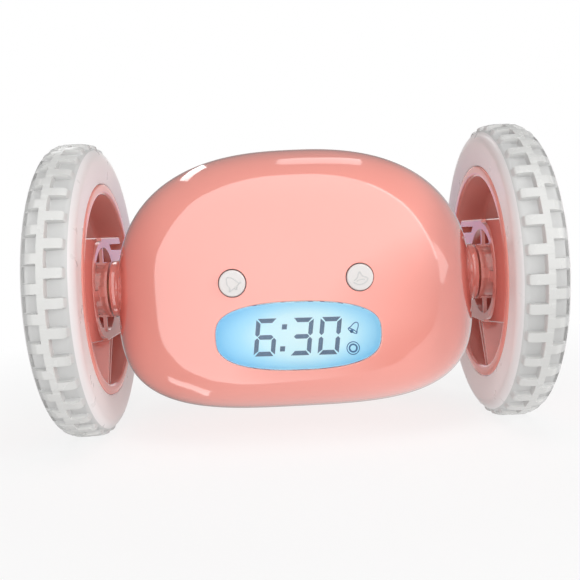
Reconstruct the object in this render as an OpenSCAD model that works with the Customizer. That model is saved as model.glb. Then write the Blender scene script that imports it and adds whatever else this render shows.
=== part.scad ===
// Runaway alarm clock: an egg-shaped body slung between two driven wheels.
// Millimetres. +Z is up, the front faces -Y and the wheel axles lie along X.
// The origin is on the floor, below the middle of the body.

/* [Body] */
// Width of the casing at its widest
body_w = 102.6; // [101:0.2:103.4]
// Depth of the casing, front to back
body_d = 66; // [65.4:0.2:69]
// Height of the casing above its widest level
body_top = 42.4; // [41.6:0.2:45]
// Depth of the casing below its widest level
body_bottom = 31.6; // [31:0.2:33.6]
// How far the widest level lies below the wheel axles
body_drop = 4.45; // [4:0.05:5]
// Thickness of the casing wall
shell_wall = 2; // [1.6:0.1:2.2]
// Radius of the round boss on each side of the casing
side_boss_r = 8.4; // [7.6:0.1:9.4]
// Gap between the casing's side boss and the wheel's hub
side_gap = 0.6; // [0.4:0.1:1]

/* [Display] */
// Width of the display opening
window_w = 42.6; // [41:0.2:43.4]
// Height of the display opening
window_h = 18.2; // [17.6:0.2:18.8]
// How far the middle of the opening lies below the axles
window_drop = 12.3; // [12:0.1:12.8]
// Thickness of the clear lens
lens_t = 1.7; // [1.4:0.1:2]
// Width of the lens's flange behind the casing
lens_flange = 1.2; // [0.8:0.1:1.6]
// How far the liquid-crystal panel reaches above and below the opening
panel_margin = 0.5; // [0.3:0.05:0.6]
// Thickness of the liquid-crystal panel
lcd_t = 2; // [1.6:0.1:2.2]
// How far the panel's face lies behind the front of the casing
lcd_set_back = 8.4; // [8.2:0.1:8.8]
// Thickness of the light guide behind the panel
guide_t = 2.4; // [2:0.1:2.6]
// Wall of the frame that holds the panel
frame_wall = 0.9; // [0.7:0.1:1]
// Height of a digit
digit_h = 10; // [9:0.2:10.4]
// Width of a digit
digit_w = 5.3; // [4.8:0.1:5.4]
// Width of a digit's segments
segment_w = 1.25; // [1:0.05:1.5]
// Lean of the digits, in degrees
digit_lean = 6.5; // [0:0.5:9]

/* [Front buttons] */
// Diameter of a front button
button_d = 7.1; // [6.4:0.1:7.6]
// Distance between the front buttons
button_pitch = 32.4; // [31:0.2:33.4]
// Height of the front buttons above the axles
button_rise = 2.1; // [1.8:0.1:3]
// How far a front button stands out of the casing
button_proud = 0.8; // [0.7:0.05:1]
// How far a front button can be pressed
button_travel = 0.6; // [0.4:0.05:0.6]

/* [Rear keys] */
// Diameter of a rear key
key_d = 5.2; // [4.6:0.1:5.6]
// Distance between rear keys
key_pitch = 12; // [11:0.2:12.6]
// Height of the rear keys above the axles
key_rise = 5.7; // [5.5:0.1:5.9]
// How far a rear key stands out of the casing
key_proud = 0.9; // [0.8:0.05:1.1]
// How far a rear key can be pressed
key_travel = 0.6; // [0.4:0.05:0.6]

/* [Boards] */
// Thickness of the circuit boards
board_t = 1.6; // [1.2:0.1:1.6]
// Gap between the display's frame and the main board's posts
post_gap = 0.77; // [0.57:0.05:1.17]
// Top of the main board, above the axles
board_rise = 14; // [13:0.5:16]
// Bottom of the main board, below the axles
board_drop = 24; // [23.8:0.1:24.4]
// Width of the rear keys' board
key_board_w = 46; // [44:0.5:47]
// Height of the rear keys' board
key_board_h = 6.8; // [6.6:0.1:7]
// How far the rear keys' board lies in front of the casing's back
key_board_in = 11.9; // [11.8:0.1:12.4]
// Height of a switch body
switch_t = 3.2; // [2.8:0.1:3.4]
// Side of a switch body
switch_w = 6; // [5.4:0.1:6.2]
// Length of a switch's plunger
plunger_t = 0.8; // [0.6:0.05:1]

/* [Speaker] */
// Radius of the speaker
speaker_r = 9.2; // [8.6:0.1:9.4]
// Thickness of the speaker
speaker_t = 5; // [4:0.2:5.6]
// Height of the speaker above the axles
speaker_rise = 21; // [20.8:0.1:21.3]
// How far the speaker's face lies in front of the casing's back
speaker_in = 14.4; // [14.3:0.1:15]
// Radius of the grille
grille_r = 10.2; // [9.9:0.1:10.3]
// Radius of a grille hole
grille_hole_r = 0.75; // [0.6:0.05:0.85]
// Distance between grille holes
grille_pitch = 3; // [2.8:0.05:3.2]

/* [Power] */
// Diameter of a cell
cell_d = 10.5; // [10.1:0.1:10.5]
// Length of a cell without its nub
cell_l = 43.3; // [43:0.1:43.3]
// Length of a cell's nub
nub_l = 1.2; // [1:0.1:1.2]
// Wall of the battery tray
tray_wall = 1.2; // [1:0.1:1.3]
// Depth of the battery tray
tray_depth = 14.4; // [12:0.2:15]
// Front of the battery tray, behind the axles
tray_y = 0.6; // [0.2:0.1:0.8]
// Length of the contacts at each end of a cell
contact_l = 3.6; // [3.4:0.1:3.7]
// Height of the battery tray's middle below the axles
tray_drop = 16.1; // [16:0.05:16.3]
// How far each side of the battery door lies inside the battery tray's side
door_inset = 0.11; // [0:0.01:0.6]
// Top of the battery door, above the axles
door_rise = 0.9; // [0.7:0.1:1.1]
// Bottom of the battery door, below the axles
door_drop = 25.6; // [25.4:0.1:26]
// Corner radius of the battery door
door_corner = 5; // [4:0.5:7]
// How far the battery door pulls out
door_travel = 20; // [12:1:30]

/* [Drive] */
// Gear module, in millimetres per tooth
gear_module = 0.6; // [0.58:0.01:0.6]
// Teeth of the large gears
wheel_teeth = 36; // [34:1:36]
// Teeth of the small gears
pinion_teeth = 12; // [11:1:12]
// Tooth thickness that is left out to give play
backlash = 0.12; // [0.08:0.02:0.16]
// Gap between a motor and the heads of the main board's screws
motor_front_gap = 0.36; // [0.3:0.02:0.5]
// Gap between a motor and the battery tray
motor_back_gap = 2.05; // [1.9:0.05:2.3]
// Place of the motors below the axles
motor_drop = 17; // [16.6:0.1:17.2]
// Diameter of a motor
motor_d = 20; // [19:0.1:20.2]
// Length of a motor's can
motor_l = 22; // [20:0.5:23]
// Radius of a motor's shaft
motor_shaft_r = 1; // [0.9:0.05:1.1]
// Gap between the battery tray and the gearbox plates
tray_gap = 0.19; // [0.13:0.02:0.35]
// Thickness of the gearbox plate and cover
gearbox_wall = 1.6; // [1.4:0.1:1.8]
// Side wall of the gearbox cover
gearbox_side = 1.2; // [1:0.1:1.2]
// Face width of the large gears
gear_face = 2.6; // [2:0.1:2.8]
// Radius of the idler gear's pin
idler_pin_r = 1; // [0.9:0.05:1.2]
// Radius of the wheel axle
axle_r = 2; // [1.8:0.05:2.3]
// Wall of the axle's bush
bush_wall = 2; // [1.6:0.1:2.2]

/* [Wheels] */
// Radius of a wheel over its tread
wheel_r = 42.5; // [42:0.1:44]
// Gap between the casing at its widest and a wheel's lip, along the axle
lip_gap = 2.95; // [2.85:0.05:3.3]
// Outer radius of the lip
lip_r = 30.9; // [30.5:0.1:31.4]
// Radius of the dish inside the lip
dish_r = 28; // [27.6:0.1:28.4]
// Depth of the dish
dish_depth = 9.4; // [9:0.1:9.8]
// Thickness of the dish's floor
dish_floor = 1.6; // [1.4:0.1:1.8]
// Half height of the beam across the dish
beam_h = 15.3; // [15:0.1:15.6]
// How far the beam's face lies inside the lip
beam_inset = 1.75; // [1.5:0.05:2]
// Wall of the beam and of its webs
beam_wall = 1.8; // [1.5:0.1:1.9]
// Outer radius of the hub's ring
ring_r = 14.4; // [14.2:0.1:14.8]
// Radius of the round well inside the ring
well_r = 12.5; // [12:0.1:12.7]
// Depth of the round well below the lip
well_depth = 8.3; // [8:0.1:8.4]
// Radius of the hub's drum
hub_r = 8; // [7.6:0.1:8.4]
// Thickness of the hub's ring
ring_t = 1.2; // [1:0.1:1.4]
// Width of the tyre
tyre_w = 13; // [12.6:0.1:13.4]
// Wall of the hollow tyre
tyre_wall = 2.2; // [1.8:0.1:2.6]
// Height of the tread lugs
lug_h = 1.5; // [1:0.1:1.8]
// Number of lugs in a row
lug_count = 36; // [24:1:40]
// Width of a lug round the tyre
lug_w = 2.8; // [2:0.1:3]
// Width of the rib in the middle of the tread
rib_w = 2; // [1.6:0.1:2.4]
// Thickness of the cover on the wheel's outer side
cover_t = 1.4; // [1.2:0.1:1.6]

/* [Fasteners] */
// Radius of a case screw's shank
case_screw_r = 1.3; // [1.1:0.05:1.4]
// Radius of a case screw's head
case_head_r = 2.5; // [2.3:0.1:2.6]
// Thickness of a case screw's head
case_head_t = 1.6; // [1.2:0.1:1.8]
// Wall round a case screw
boss_wall = 1.4; // [1.2:0.1:1.5]
// Gap between a gearbox and the lower case screws' posts
case_post_gap = 0.55; // [0.35:0.05:0.7]
// Radius of a small screw's shank
small_screw_r = 0.9; // [0.8:0.05:1]
// Radius of a small screw's head
small_head_r = 1.7; // [1.5:0.1:1.8]
// Thickness of a small screw's head
small_head_t = 1; // [0.8:0.1:1.1]

/* [Fits] */
// Running clearance of a shaft in its bore, on the radius
run_fit = 0.05; // [0.03:0.01:0.09]
// Clearance between pieces that are fixed together
seat_fit = 0.03; // [0.02:0.01:0.06]
// Clearance round a lens, door or grille in the casing
trim_fit = 0.15; // [0.1:0.01:0.2]
// Clearance round a button or key
button_fit = 0.2; // [0.15:0.01:0.3]
// Clearance that is left under a pressed button
press_gap = 0.1; // [0.08:0.01:0.2]

/* [Detail] */
// Sides of the casing's outline
egg_sides = 48; // [40:4:56]
// Rings of each half of the casing
egg_rings = 11; // [9:1:13]
// Facets of round pieces
round_fn = 64; // [48:8:96]

/* [Hidden] */
$fn = round_fn;
past = 1; // how far a cutter runs past what it cuts
body_top_power = 2.5;
body_bottom_power = 3.3;
body_depth_power = 2.5;
window_power_w = 2.3;
window_power_h = 3;
half_w = body_w / 2;
half_d = body_d / 2;
axle_z = wheel_r;
lip_x = half_w + lip_gap;
// The cells, with their contacts at both ends, set the length of the battery tray
pocket_l = cell_l + nub_l + 2 * contact_l + 4 * seat_fit;
tray_w = pocket_l + 2 * tray_wall;
door_w = tray_w - 2 * door_inset;
gearbox_x = tray_w / 2 + tray_gap;
// Stack of the gears, outward from the gearbox plate
gear_gap = 0.3;
first_x = gearbox_x + gearbox_wall + gear_gap; // first pair of gears
second_x = first_x + gear_face + 2 * gear_gap; // second pair of gears
gear_end_x = second_x + gear_face + gear_gap;
cover_x = gear_end_x + gearbox_wall; // outer face of the gearbox cover

// ---- Casing ----

function signed_power(v, e) = sign(v) * pow(abs(v), e);
// Radius of the unit superellipse of a power, in a direction
function unit_radius(power, angle) =
    pow(pow(abs(cos(angle)), power) + pow(abs(sin(angle)), power), -1 / power);
// Half height of the casing on the side of a height above its widest level
function side_h(up, inset) = (up ? body_top : body_bottom) - inset;
function side_power(up) = up ? body_top_power : body_bottom_power;
// A point of the casing's outline, seen from the front, as [x, z] from its widest level
function outline_point(angle, inset) =
    let (up = sin(angle) >= 0, r = unit_radius(side_power(up), angle))
    [(half_w - inset) * r * cos(angle), side_h(up, inset) * r * sin(angle)];
// Depth of the casing's surface from the seam at [x, z], z from the axles
function egg_y(x, z, inset = 0) =
    let (rise = z + body_drop,
         up = rise >= 0,
         p = side_power(up),
         s = pow(abs(x) / (half_w - inset), p) + pow(abs(rise) / side_h(up, inset), p))
    (half_d - inset) * pow(max(0, 1 - pow(s, body_depth_power / p)), 1 / body_depth_power);

// Points of half a casing surface: rings from the seam to the pole, then the pole
function half_points(inset) = [
    for (i = [0 : egg_rings - 1])
        let (lift = 90 * i / egg_rings, r = unit_radius(body_depth_power, lift))
        for (k = [0 : egg_sides - 1])
            let (p = outline_point(360 * k / egg_sides, inset) * r * cos(lift))
            [p.x, (half_d - inset) * r * sin(lift), p.y],
    [0, half_d - inset, 0]];
// Triangles of half a casing surface, whose points start at index first
function half_faces(first, outward) = [
    for (i = [0 : egg_rings - 1])
        for (k = [0 : egg_sides - 1])
            let (a = first + i * egg_sides + k,
                 b = first + i * egg_sides + (k + 1) % egg_sides,
                 c = i < egg_rings - 1 ? b + egg_sides : first + egg_rings * egg_sides,
                 d = a + egg_sides)
            each i < egg_rings - 1
                ? (outward ? [[a, b, c], [a, c, d]] : [[a, c, b], [a, d, c]])
                : (outward ? [[a, b, c]] : [[a, c, b]])];
half_count = egg_sides * egg_rings + 1;
seam_faces = [
    for (k = [0 : egg_sides - 1])
        let (n = (k + 1) % egg_sides)
        each [[k, half_count + k, half_count + n], [k, half_count + n, n]]];

// The layer of the rear half casing between two insets, with its seam at y = 0
module rear_layer(outer_inset, inner_inset) {
    translate([0, 0, -body_drop])
        polyhedron(points = concat(half_points(outer_inset), half_points(inner_inset)),
                   faces = concat(half_faces(0, true), half_faces(half_count, false), seam_faces));
}

// The rear half casing as a solid
module rear_block(inset) {
    translate([0, 0, -body_drop])
        polyhedron(points = half_points(inset),
                   faces = concat(half_faces(0, true), [[for (k = [egg_sides - 1 : -1 : 0]) k]]));
}

module to_front() { mirror([0, 1, 0]) children(); }

// ---- Placing ----

module at_axles() { translate([0, 0, axle_z]) children(); }
module on_side(side) { at_axles() mirror([side < 0 ? 1 : 0, 0, 0]) children(); }
// Turns a shape drawn flat, and extruded upward, to run along +X from x
module along_x(x = 0) { translate([x, 0, 0]) rotate([90, 0, 90]) children(); }
module rod_x(x0, x1, r) { along_x(x0) cylinder(h = x1 - x0, r = r); }
module rod_y(y0, y1, r) { translate([0, y0, 0]) rotate([-90, 0, 0]) cylinder(h = y1 - y0, r = r); }
module block(x0, x1, y0, y1, z0, z1) { translate([x0, y0, z0]) cube([x1 - x0, y1 - y0, z1 - z0]); }
// A flat shape in x and z, extruded from y0 to y1
module along_y(y0, y1) { translate([0, y1, 0]) rotate([90, 0, 0]) linear_extrude(y1 - y0) children(); }

// ---- Case screws ----

case_seat_y = 5;
case_shank = 8;
case_boss_r = case_head_r + trim_fit + boss_wall;
// Places of the screws that hold the two half casings together, as [x, z]
case_low_x = cover_x + case_post_gap + case_boss_r;
case_low_z = -14;
case_high_x = 34;
case_high_z = 22;
case_spots = [
    [case_high_x, case_high_z], [-case_high_x, case_high_z],
    [case_low_x, case_low_z], [-case_low_x, case_low_z]];
module at_case_screws() { for (s = case_spots) translate([s.x, 0, s.y]) children(); }

// ---- Side boss and bush ----

bush_r = axle_r + run_fit + bush_wall;
hub_inset = 0.6; // how far the hub's end lies inside the lip
bush_inset = 7; // from the boss's inner end to the bush
boss_end_x = lip_x - side_gap - hub_inset;
inner_boss_r = bush_r + seat_fit + bush_wall;
inner_boss_x = cover_x + trim_fit;
bush_x0 = inner_boss_x + bush_inset;
module side_bosses() {
    for (m = [0, 1]) mirror([m, 0, 0]) {
        rod_x(half_w - shell_wall, boss_end_x, side_boss_r);
        rod_x(inner_boss_x, half_w - shell_wall / 2, inner_boss_r);
    }
}
module bush_bores() {
    for (m = [0, 1]) mirror([m, 0, 0]) {
        rod_x(inner_boss_x - past, boss_end_x + past, bush_r + seat_fit);
    }
}
module rear_space() { block(-body_w, body_w, 0, body_w, -body_w, body_w); }

// ---- Display ----

lcd_w = window_w + 2 * lens_flange;
lcd_h = window_h + 2 * panel_margin;
lcd_y = -half_d + lcd_set_back; // face of the panel
lcd_back_y = lcd_y + lcd_t;
guide_y = lcd_back_y + seat_fit;
frame_lip = 0.6;
frame_back_y = guide_y + guide_t + seat_fit + frame_lip;
frame_front_y = lcd_y + 0.6;
lcd_z = -window_drop - 0.5;
board_y = frame_back_y + seat_fit; // front face of the main board
board_back_y = board_y + board_t;

module window_shape(grow) {
    w = window_w / 2 + grow;
    h = window_h / 2 + grow;
    polygon([for (a = [0 : 5 : 355])
        [w * signed_power(cos(a), 2 / window_power_w), h * signed_power(sin(a), 2 / window_power_h)]]);
}
module window_prism(grow) {
    translate([0, 0, -window_drop]) along_y(-half_d - past, 0) window_shape(grow);
}

button_x = button_pitch / 2;
button_face_y = -egg_y(button_x, button_rise) - button_proud;
button_flange_r = button_d / 2 + 0.9;
button_flange_t = 0.8;
button_flange_y = 0.2 - egg_y(button_x + button_flange_r, button_rise + button_flange_r / 2, shell_wall);
module at_button(side) { translate([side * button_x, 0, button_rise]) children(); }

main_post_r = 2;
post_margin = 0.2; // from a post to the board's edge
post_inset = 3; // from a post's middle to the board's top or bottom
main_post_x = lcd_w / 2 + seat_fit + frame_wall + post_gap + main_post_r;
board_w = 2 * (main_post_x + main_post_r + post_margin);
main_spots = [for (x = [-1, 1], z = [board_rise - post_inset, -board_drop + post_inset])
    [x * main_post_x, z]];

module front_shell() {
    color("salmon") at_axles() difference() {
        union() {
            to_front() rear_layer(0, shell_wall);
            to_front() intersection() {
                rear_block(shell_wall / 2);
                at_case_screws() rod_y(0, half_d, case_boss_r);
            }
            intersection() {
                to_front() rear_block(shell_wall / 2);
                for (s = main_spots)
                    translate([s.x, 0, s.y]) rod_y(-half_d, board_y - seat_fit, main_post_r);
            }
            to_front() intersection() {
                side_bosses();
                rear_space();
            }
        }
        window_prism(0);
        for (side = [-1, 1]) at_button(side) rod_y(-half_d - past, 0, button_d / 2 + button_fit);
        at_case_screws() rod_y(-case_shank - past, past, case_screw_r + seat_fit);
        for (s = main_spots)
            translate([s.x, 0, s.y]) rod_y(board_y - small_depth - past, 0, small_screw_r + seat_fit);
        bush_bores();
    }
}

// ---- Rear casing ----

key_board_y = half_d - key_board_in;
speaker_y = half_d - speaker_in;
key_xs = [for (i = [-1.5 : 1 : 1.5]) i * key_pitch];
key_flange_r = key_d / 2 + 0.7;
key_flange_t = 0.7;
collar_wall = 1;
collar_r = grille_r + collar_wall;
door_screw_drop = 1.9;
door_seat_y = egg_y(0, -door_screw_drop, shell_wall) - 1.2;
door_post_y = door_seat_y - 1.3;
door_screw_depth = 4;
key_post_r = 1.9;
key_spots = [for (x = [-1, 1]) [x * (key_board_w / 2 + key_post_r - 0.6), key_rise]];

module door_shape(grow) {
    w = door_w / 2 + grow;
    r = door_corner + grow;
    top = door_rise + grow;
    low = -door_drop - grow;
    arc_at = [[w - r, top - r, 0], [r - w, top - r, 90], [r - w, low + r, 180], [w - r, low + r, 270]];
    polygon([for (c = arc_at) for (a = [0 : 15 : 90]) [c.x + r * cos(c.z + a), c.y + r * sin(c.z + a)]]);
}

module rear_shell() {
    color("salmon") at_axles() difference() {
        union() {
            rear_layer(0, shell_wall);
            intersection() {
                rear_block(shell_wall / 2);
                union() {
                    at_case_screws() rod_y(0, half_d, case_boss_r);
                    translate([0, 0, speaker_rise]) rod_y(speaker_y - speaker_t, half_d, collar_r);
                    for (s = key_spots)
                        translate([s.x, 0, s.y]) rod_y(key_board_y + board_t + seat_fit, half_d, key_post_r);
                }
            }
            intersection() {
                side_bosses();
                rear_space();
            }
        }
        at_case_screws() rod_y(-past, case_seat_y + past, case_screw_r + trim_fit);
        at_case_screws() rod_y(case_seat_y, half_d + past, case_head_r + trim_fit);
        translate([0, 0, speaker_rise]) {
            rod_y(speaker_y - speaker_t - past, half_d, speaker_r + trim_fit);
            rod_y(speaker_y, half_d + past, grille_r);
        }
        along_y(0, half_d + past) door_shape(0);
        for (x = key_xs) translate([x, 0, key_rise]) rod_y(0, half_d + past, key_d / 2 + button_fit);
        for (s = key_spots)
            translate([s.x, 0, s.y])
                rod_y(0, key_board_y + board_t + small_depth, small_screw_r + seat_fit);
        bush_bores();
    }
}

module speaker_grille() {
    reach = floor(grille_r / grille_pitch) + 1;
    row_step = grille_pitch * sqrt(3) / 2;
    color("salmon") at_axles() difference() {
        intersection() {
            rear_layer(0.3, shell_wall - 0.1);
            translate([0, 0, speaker_rise]) rod_y(0, half_d + past, grille_r - trim_fit);
        }
        for (row = [-reach : reach], i = [-reach : reach]) {
            x = (i + (row % 2 == 0 ? 0 : 0.5)) * grille_pitch;
            z = row * row_step;
            if (norm([x, z]) < grille_r - trim_fit - 2 * grille_hole_r)
                translate([x, 0, speaker_rise + z]) rod_y(0, half_d + past, grille_hole_r);
        }
    }
}

module battery_door() {
    color("salmon") at_axles() difference() {
        union() {
            intersection() {
                rear_layer(0, shell_wall);
                along_y(0, half_d + past) door_shape(-trim_fit);
            }
            intersection() {
                rear_block(shell_wall / 2);
                translate([0, 0, -door_screw_drop])
                    rod_y(door_seat_y - 1, half_d, case_head_r + trim_fit + 0.6);
                along_y(0, half_d + past) door_shape(-trim_fit);
            }
        }
        translate([0, 0, -door_screw_drop]) rod_y(0, half_d, case_screw_r + trim_fit);
        translate([0, 0, -door_screw_drop]) rod_y(door_seat_y, half_d + past, case_head_r + trim_fit);
    }
}

module screw_y(y_seat, shank, r, head_r, head_t) {
    // The head lies behind the seat, and the shank runs forward
    rod_y(y_seat - shank, y_seat + head_t / 2, r);
    difference() {
        rod_y(y_seat, y_seat + head_t, head_r);
        for (a = [0, 90])
            rotate([0, a, 0])
                block(-head_r * 0.55, head_r * 0.55, y_seat + head_t / 2, y_seat + head_t + past,
                      -r * 0.3, r * 0.3);
    }
}

module case_screws() {
    color("silver") at_axles() at_case_screws()
        screw_y(case_seat_y + seat_fit, case_seat_y + case_shank, case_screw_r, case_head_r, case_head_t);
}

module battery_door_screw() {
    color("silver") at_axles() translate([0, 0, -door_screw_drop])
        screw_y(door_seat_y + seat_fit, door_seat_y - door_post_y + door_screw_depth - 1,
                case_screw_r, case_head_r, case_head_t);
}

// ---- Display pieces ----

module display_lens() {
    color("lightskyblue", 0.5) at_axles() {
        intersection() {
            to_front() rear_layer(0.15, shell_wall + seat_fit + 0.01);
            window_prism(-trim_fit);
        }
        intersection() {
            to_front() rear_layer(shell_wall + seat_fit, shell_wall + seat_fit + lens_t / 2);
            window_prism(lens_flange);
        }
    }
}

module centred_block(w, h, y0, y1, z) { block(-w / 2, w / 2, y0, y1, z - h / 2, z + h / 2); }

module lcd_panel() {
    color("powderblue") at_axles() centred_block(lcd_w, lcd_h, lcd_y, lcd_back_y, lcd_z);
}

module light_guide() {
    color("white") at_axles() centred_block(lcd_w, lcd_h, guide_y, guide_y + guide_t, lcd_z);
}

module display_frame() {
    w = lcd_w + 2 * seat_fit;
    h = lcd_h + 2 * seat_fit;
    color("white") at_axles() difference() {
        centred_block(w + 2 * frame_wall, h + 2 * frame_wall, frame_front_y, frame_back_y, lcd_z);
        centred_block(w, h, frame_front_y - past, guide_y + guide_t + seat_fit, lcd_z);
        centred_block(w - 6, h - 6, frame_front_y, frame_back_y + past, lcd_z);
    }
}

// One digit's lit segments as flat shapes, with its lower left corner at the origin
// Segments are: top, upper right, lower right, bottom, lower left, upper left, middle
module segment(length) {
    t = segment_w / 2;
    polygon([[t, 0], [2 * t, t], [length - 2 * t, t], [length - t, 0], [length - 2 * t, -t], [2 * t, -t]]);
}
module digit(lit) {
    w = digit_w - segment_w;
    h = (digit_h - segment_w) / 2;
    starts = [[0, 2 * h, 0], [w, h, 90], [w, 0, 90], [0, 0, 0], [0, 0, 90], [0, h, 90], [0, h, 0]];
    for (i = [0 : 6]) if (lit[i] == 1)
        translate([starts[i].x + segment_w / 2, starts[i].y + segment_w / 2])
            rotate(starts[i].z) translate([-0.35 * segment_w, 0])
                segment((i % 3 == 0 ? w : h) + 0.7 * segment_w);
}
// Lit segments of a six, a three and a nought
six = [1, 0, 1, 1, 1, 1, 1];
three = [1, 1, 1, 1, 0, 0, 1];
nought = [1, 1, 1, 1, 1, 1, 0];
// Left edges of the digits, the colon and the middle of the symbols, from the panel's middle
digit_xs = [-11.5, -1.6, 5.5];
colon_x = -4.4;
symbol_x = 14.4;
digits_z = lcd_z - 5.4;
symbol_line = 0.25;

module lean() {
    multmatrix([[1, tan(digit_lean), 0, 0], [0, 1, 0, 0], [0, 0, 1, 0], [0, 0, 0, 1]]) children();
}
module ring_2d(r) {
    difference() {
        circle(r = r);
        circle(r = r - symbol_line);
    }
}
module bell_2d() {
    // A bell with its clapper
    difference() {
        polygon([
            [-1.7, -1.1], [-1.1, -0.5], [-0.9, 0.7], [-0.3, 1.4],
            [0.3, 1.4], [0.9, 0.7], [1.1, -0.5], [1.7, -1.1]]);
        polygon([
            [-1.1, -0.85], [-0.85, -0.4], [-0.65, 0.6], [-0.2, 1.1],
            [0.2, 1.1], [0.65, 0.6], [0.85, -0.4], [1.1, -0.85]]);
    }
    translate([0, -1.35]) circle(r = 0.4);
}
module shown_shapes() {
    lean() {
        translate([digit_xs[0], 0]) digit(six);
        translate([digit_xs[1], 0]) digit(three);
        translate([digit_xs[2], 0]) digit(nought);
        for (z = [0.25, 0.75]) translate([colon_x, digit_h * z]) square(segment_w, center = true);
    }
    translate([symbol_x, digit_h * 0.62]) rotate(-30) bell_2d();
    translate([symbol_x, digit_h * 0.12]) {
        ring_2d(1.75);
        ring_2d(1.05);
    }
}
module lcd_segments() {
    thickness = 0.1;
    color("slategray") at_axles() translate([0, 0, digits_z])
        along_y(lcd_y - seat_fit - thickness, lcd_y - seat_fit) shown_shapes();
}

strip_gap = 0.3; // between the strip and the front switches
strip_h = 1.8;
module contact_strip() {
    x = button_x - switch_w / 2 - strip_gap;
    z = lcd_z + lcd_h / 2 + 2 * seat_fit + frame_wall;
    color("dimgray") at_axles()
        block(-x, x, lcd_back_y + seat_fit, board_y - seat_fit, z, z + strip_h);
}

// ---- Boards ----

small_depth = 5;
module main_board() {
    color("seagreen") at_axles() difference() {
        block(-board_w / 2, board_w / 2, board_y, board_back_y, -board_drop, board_rise);
        for (s = main_spots)
            translate([s.x, 0, s.y]) rod_y(board_y - past, board_back_y + past, small_screw_r + 0.2);
    }
}

chip_z = 4;
chip_w = 12;
chip_h = 8;
chip_t = 1.3;
chip_lift = 0.3; // of the chip's body above the board
leg_w = 0.5;
leg_l = 1.2;
leg_pitch = 1.3;
crystal_r = 1.6;
crystal_l = 5;
capacitor_r = 2.2;
capacitor_l = 7;
chip_gap = 1.1; // between neighbours in the row
crystal_x = chip_w / 2 + 4 * chip_gap + crystal_r;
capacitor_x = crystal_x + crystal_r + capacitor_r + chip_gap - leg_w;
module board_chips() {
    // The controller with its legs, the crystal's can and the capacitors
    color("dimgray") at_axles() translate([0, board_back_y, chip_z]) {
        block(-chip_w / 2, chip_w / 2, chip_lift, chip_lift + chip_t, -chip_h / 2, chip_h / 2);
        for (i = [-4 : 4], side = [-1, 1])
            block(i * leg_pitch - leg_w / 2, i * leg_pitch + leg_w / 2, 0, chip_lift + leg_w,
                  side * (chip_h + leg_l) / 2 - leg_l / 2, side * (chip_h + leg_l) / 2 + leg_l / 2);
        translate([crystal_x, 0, 0]) rod_y(0, crystal_l, crystal_r);
        for (i = [0, 1])
            translate([capacitor_x + i * (2 * capacitor_r + chip_gap), 0, 0])
                rod_y(0, capacitor_l, capacitor_r);
    }
}

module board_screws() {
    color("silver") at_axles() {
        for (s = main_spots) translate([s.x, 0, s.y])
            screw_y(board_back_y + seat_fit, small_depth, small_screw_r, small_head_r, small_head_t);
        for (s = key_spots) translate([s.x, 0, s.y]) mirror([0, 1, 0])
            screw_y(-key_board_y + seat_fit, small_depth, small_screw_r, small_head_r, small_head_t);
    }
}

module switch_y(y, w) {
    // A tact switch that stands forward of y, with its plunger
    block(-w / 2, w / 2, y - switch_t, y, -w / 2, w / 2);
    rod_y(y - switch_t - plunger_t, y - switch_t / 2, w * 0.28);
}
module front_switches() {
    color("dimgray") at_axles() for (side = [-1, 1]) at_button(side) switch_y(board_y, switch_w);
}
module key_switches() {
    color("dimgray") at_axles() for (x = key_xs) translate([x, 0, key_rise])
        mirror([0, 1, 0]) switch_y(-key_board_y - board_t, switch_w * 0.8);
}
module key_board() {
    color("seagreen") at_axles() difference() {
        union() {
            block(-key_board_w / 2, key_board_w / 2, key_board_y, key_board_y + board_t,
                  key_rise - key_board_h / 2, key_rise + key_board_h / 2);
            for (s = key_spots)
                translate([s.x, 0, s.y]) rod_y(key_board_y, key_board_y + board_t, key_post_r);
        }
        for (s = key_spots) translate([s.x, 0, s.y]) rod_y(0, half_d, small_screw_r + 0.2);
    }
}

// ---- Buttons and keys ----

module push(cap_end, flange_end, flange_t, stem_end, r, flange_r, crown) {
    // One turned piece, lengths measured back from the stem's end: stem, flange and crowned cap
    l = cap_end - stem_end;
    f = flange_end - stem_end;
    stem_r = 1.3;
    translate([0, stem_end, 0]) rotate([-90, 0, 0]) rotate_extrude() polygon([
        [0, 0], [stem_r, 0], [stem_r, f - flange_t], [flange_r, f - flange_t], [flange_r, f],
        [r, f], [r, l - crown], [r - crown, l], [0, l]]);
}
module button() {
    // Pressed towards +y, onto its switch
    stem_end = board_y - switch_t - plunger_t - button_travel - press_gap;
    mirror([0, 1, 0])
        push(-button_face_y, -button_flange_y, button_flange_t, -stem_end,
             button_d / 2, button_flange_r, 0.5);
}
module alarm_button() { color("whitesmoke") at_axles() at_button(-1) button(); }
module snooze_button() { color("whitesmoke") at_axles() at_button(1) button(); }

module key(i) {
    x = key_xs[i];
    face = egg_y(x, key_rise) + key_proud;
    flange = egg_y(abs(x) + key_flange_r, key_rise + key_flange_r, shell_wall) - 0.2;
    stem_end = key_board_y + board_t + switch_t + plunger_t + key_travel + press_gap;
    color("whitesmoke") at_axles() translate([x, 0, key_rise])
        push(face, flange, key_flange_t, min(stem_end, flange - key_flange_t - 0.1),
             key_d / 2, key_flange_r, 0.4);
}
module hour_key() { key(0); }
module minute_key() { key(1); }
module time_key() { key(2); }
module alarm_key() { key(3); }

// ---- Speaker ----

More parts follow.
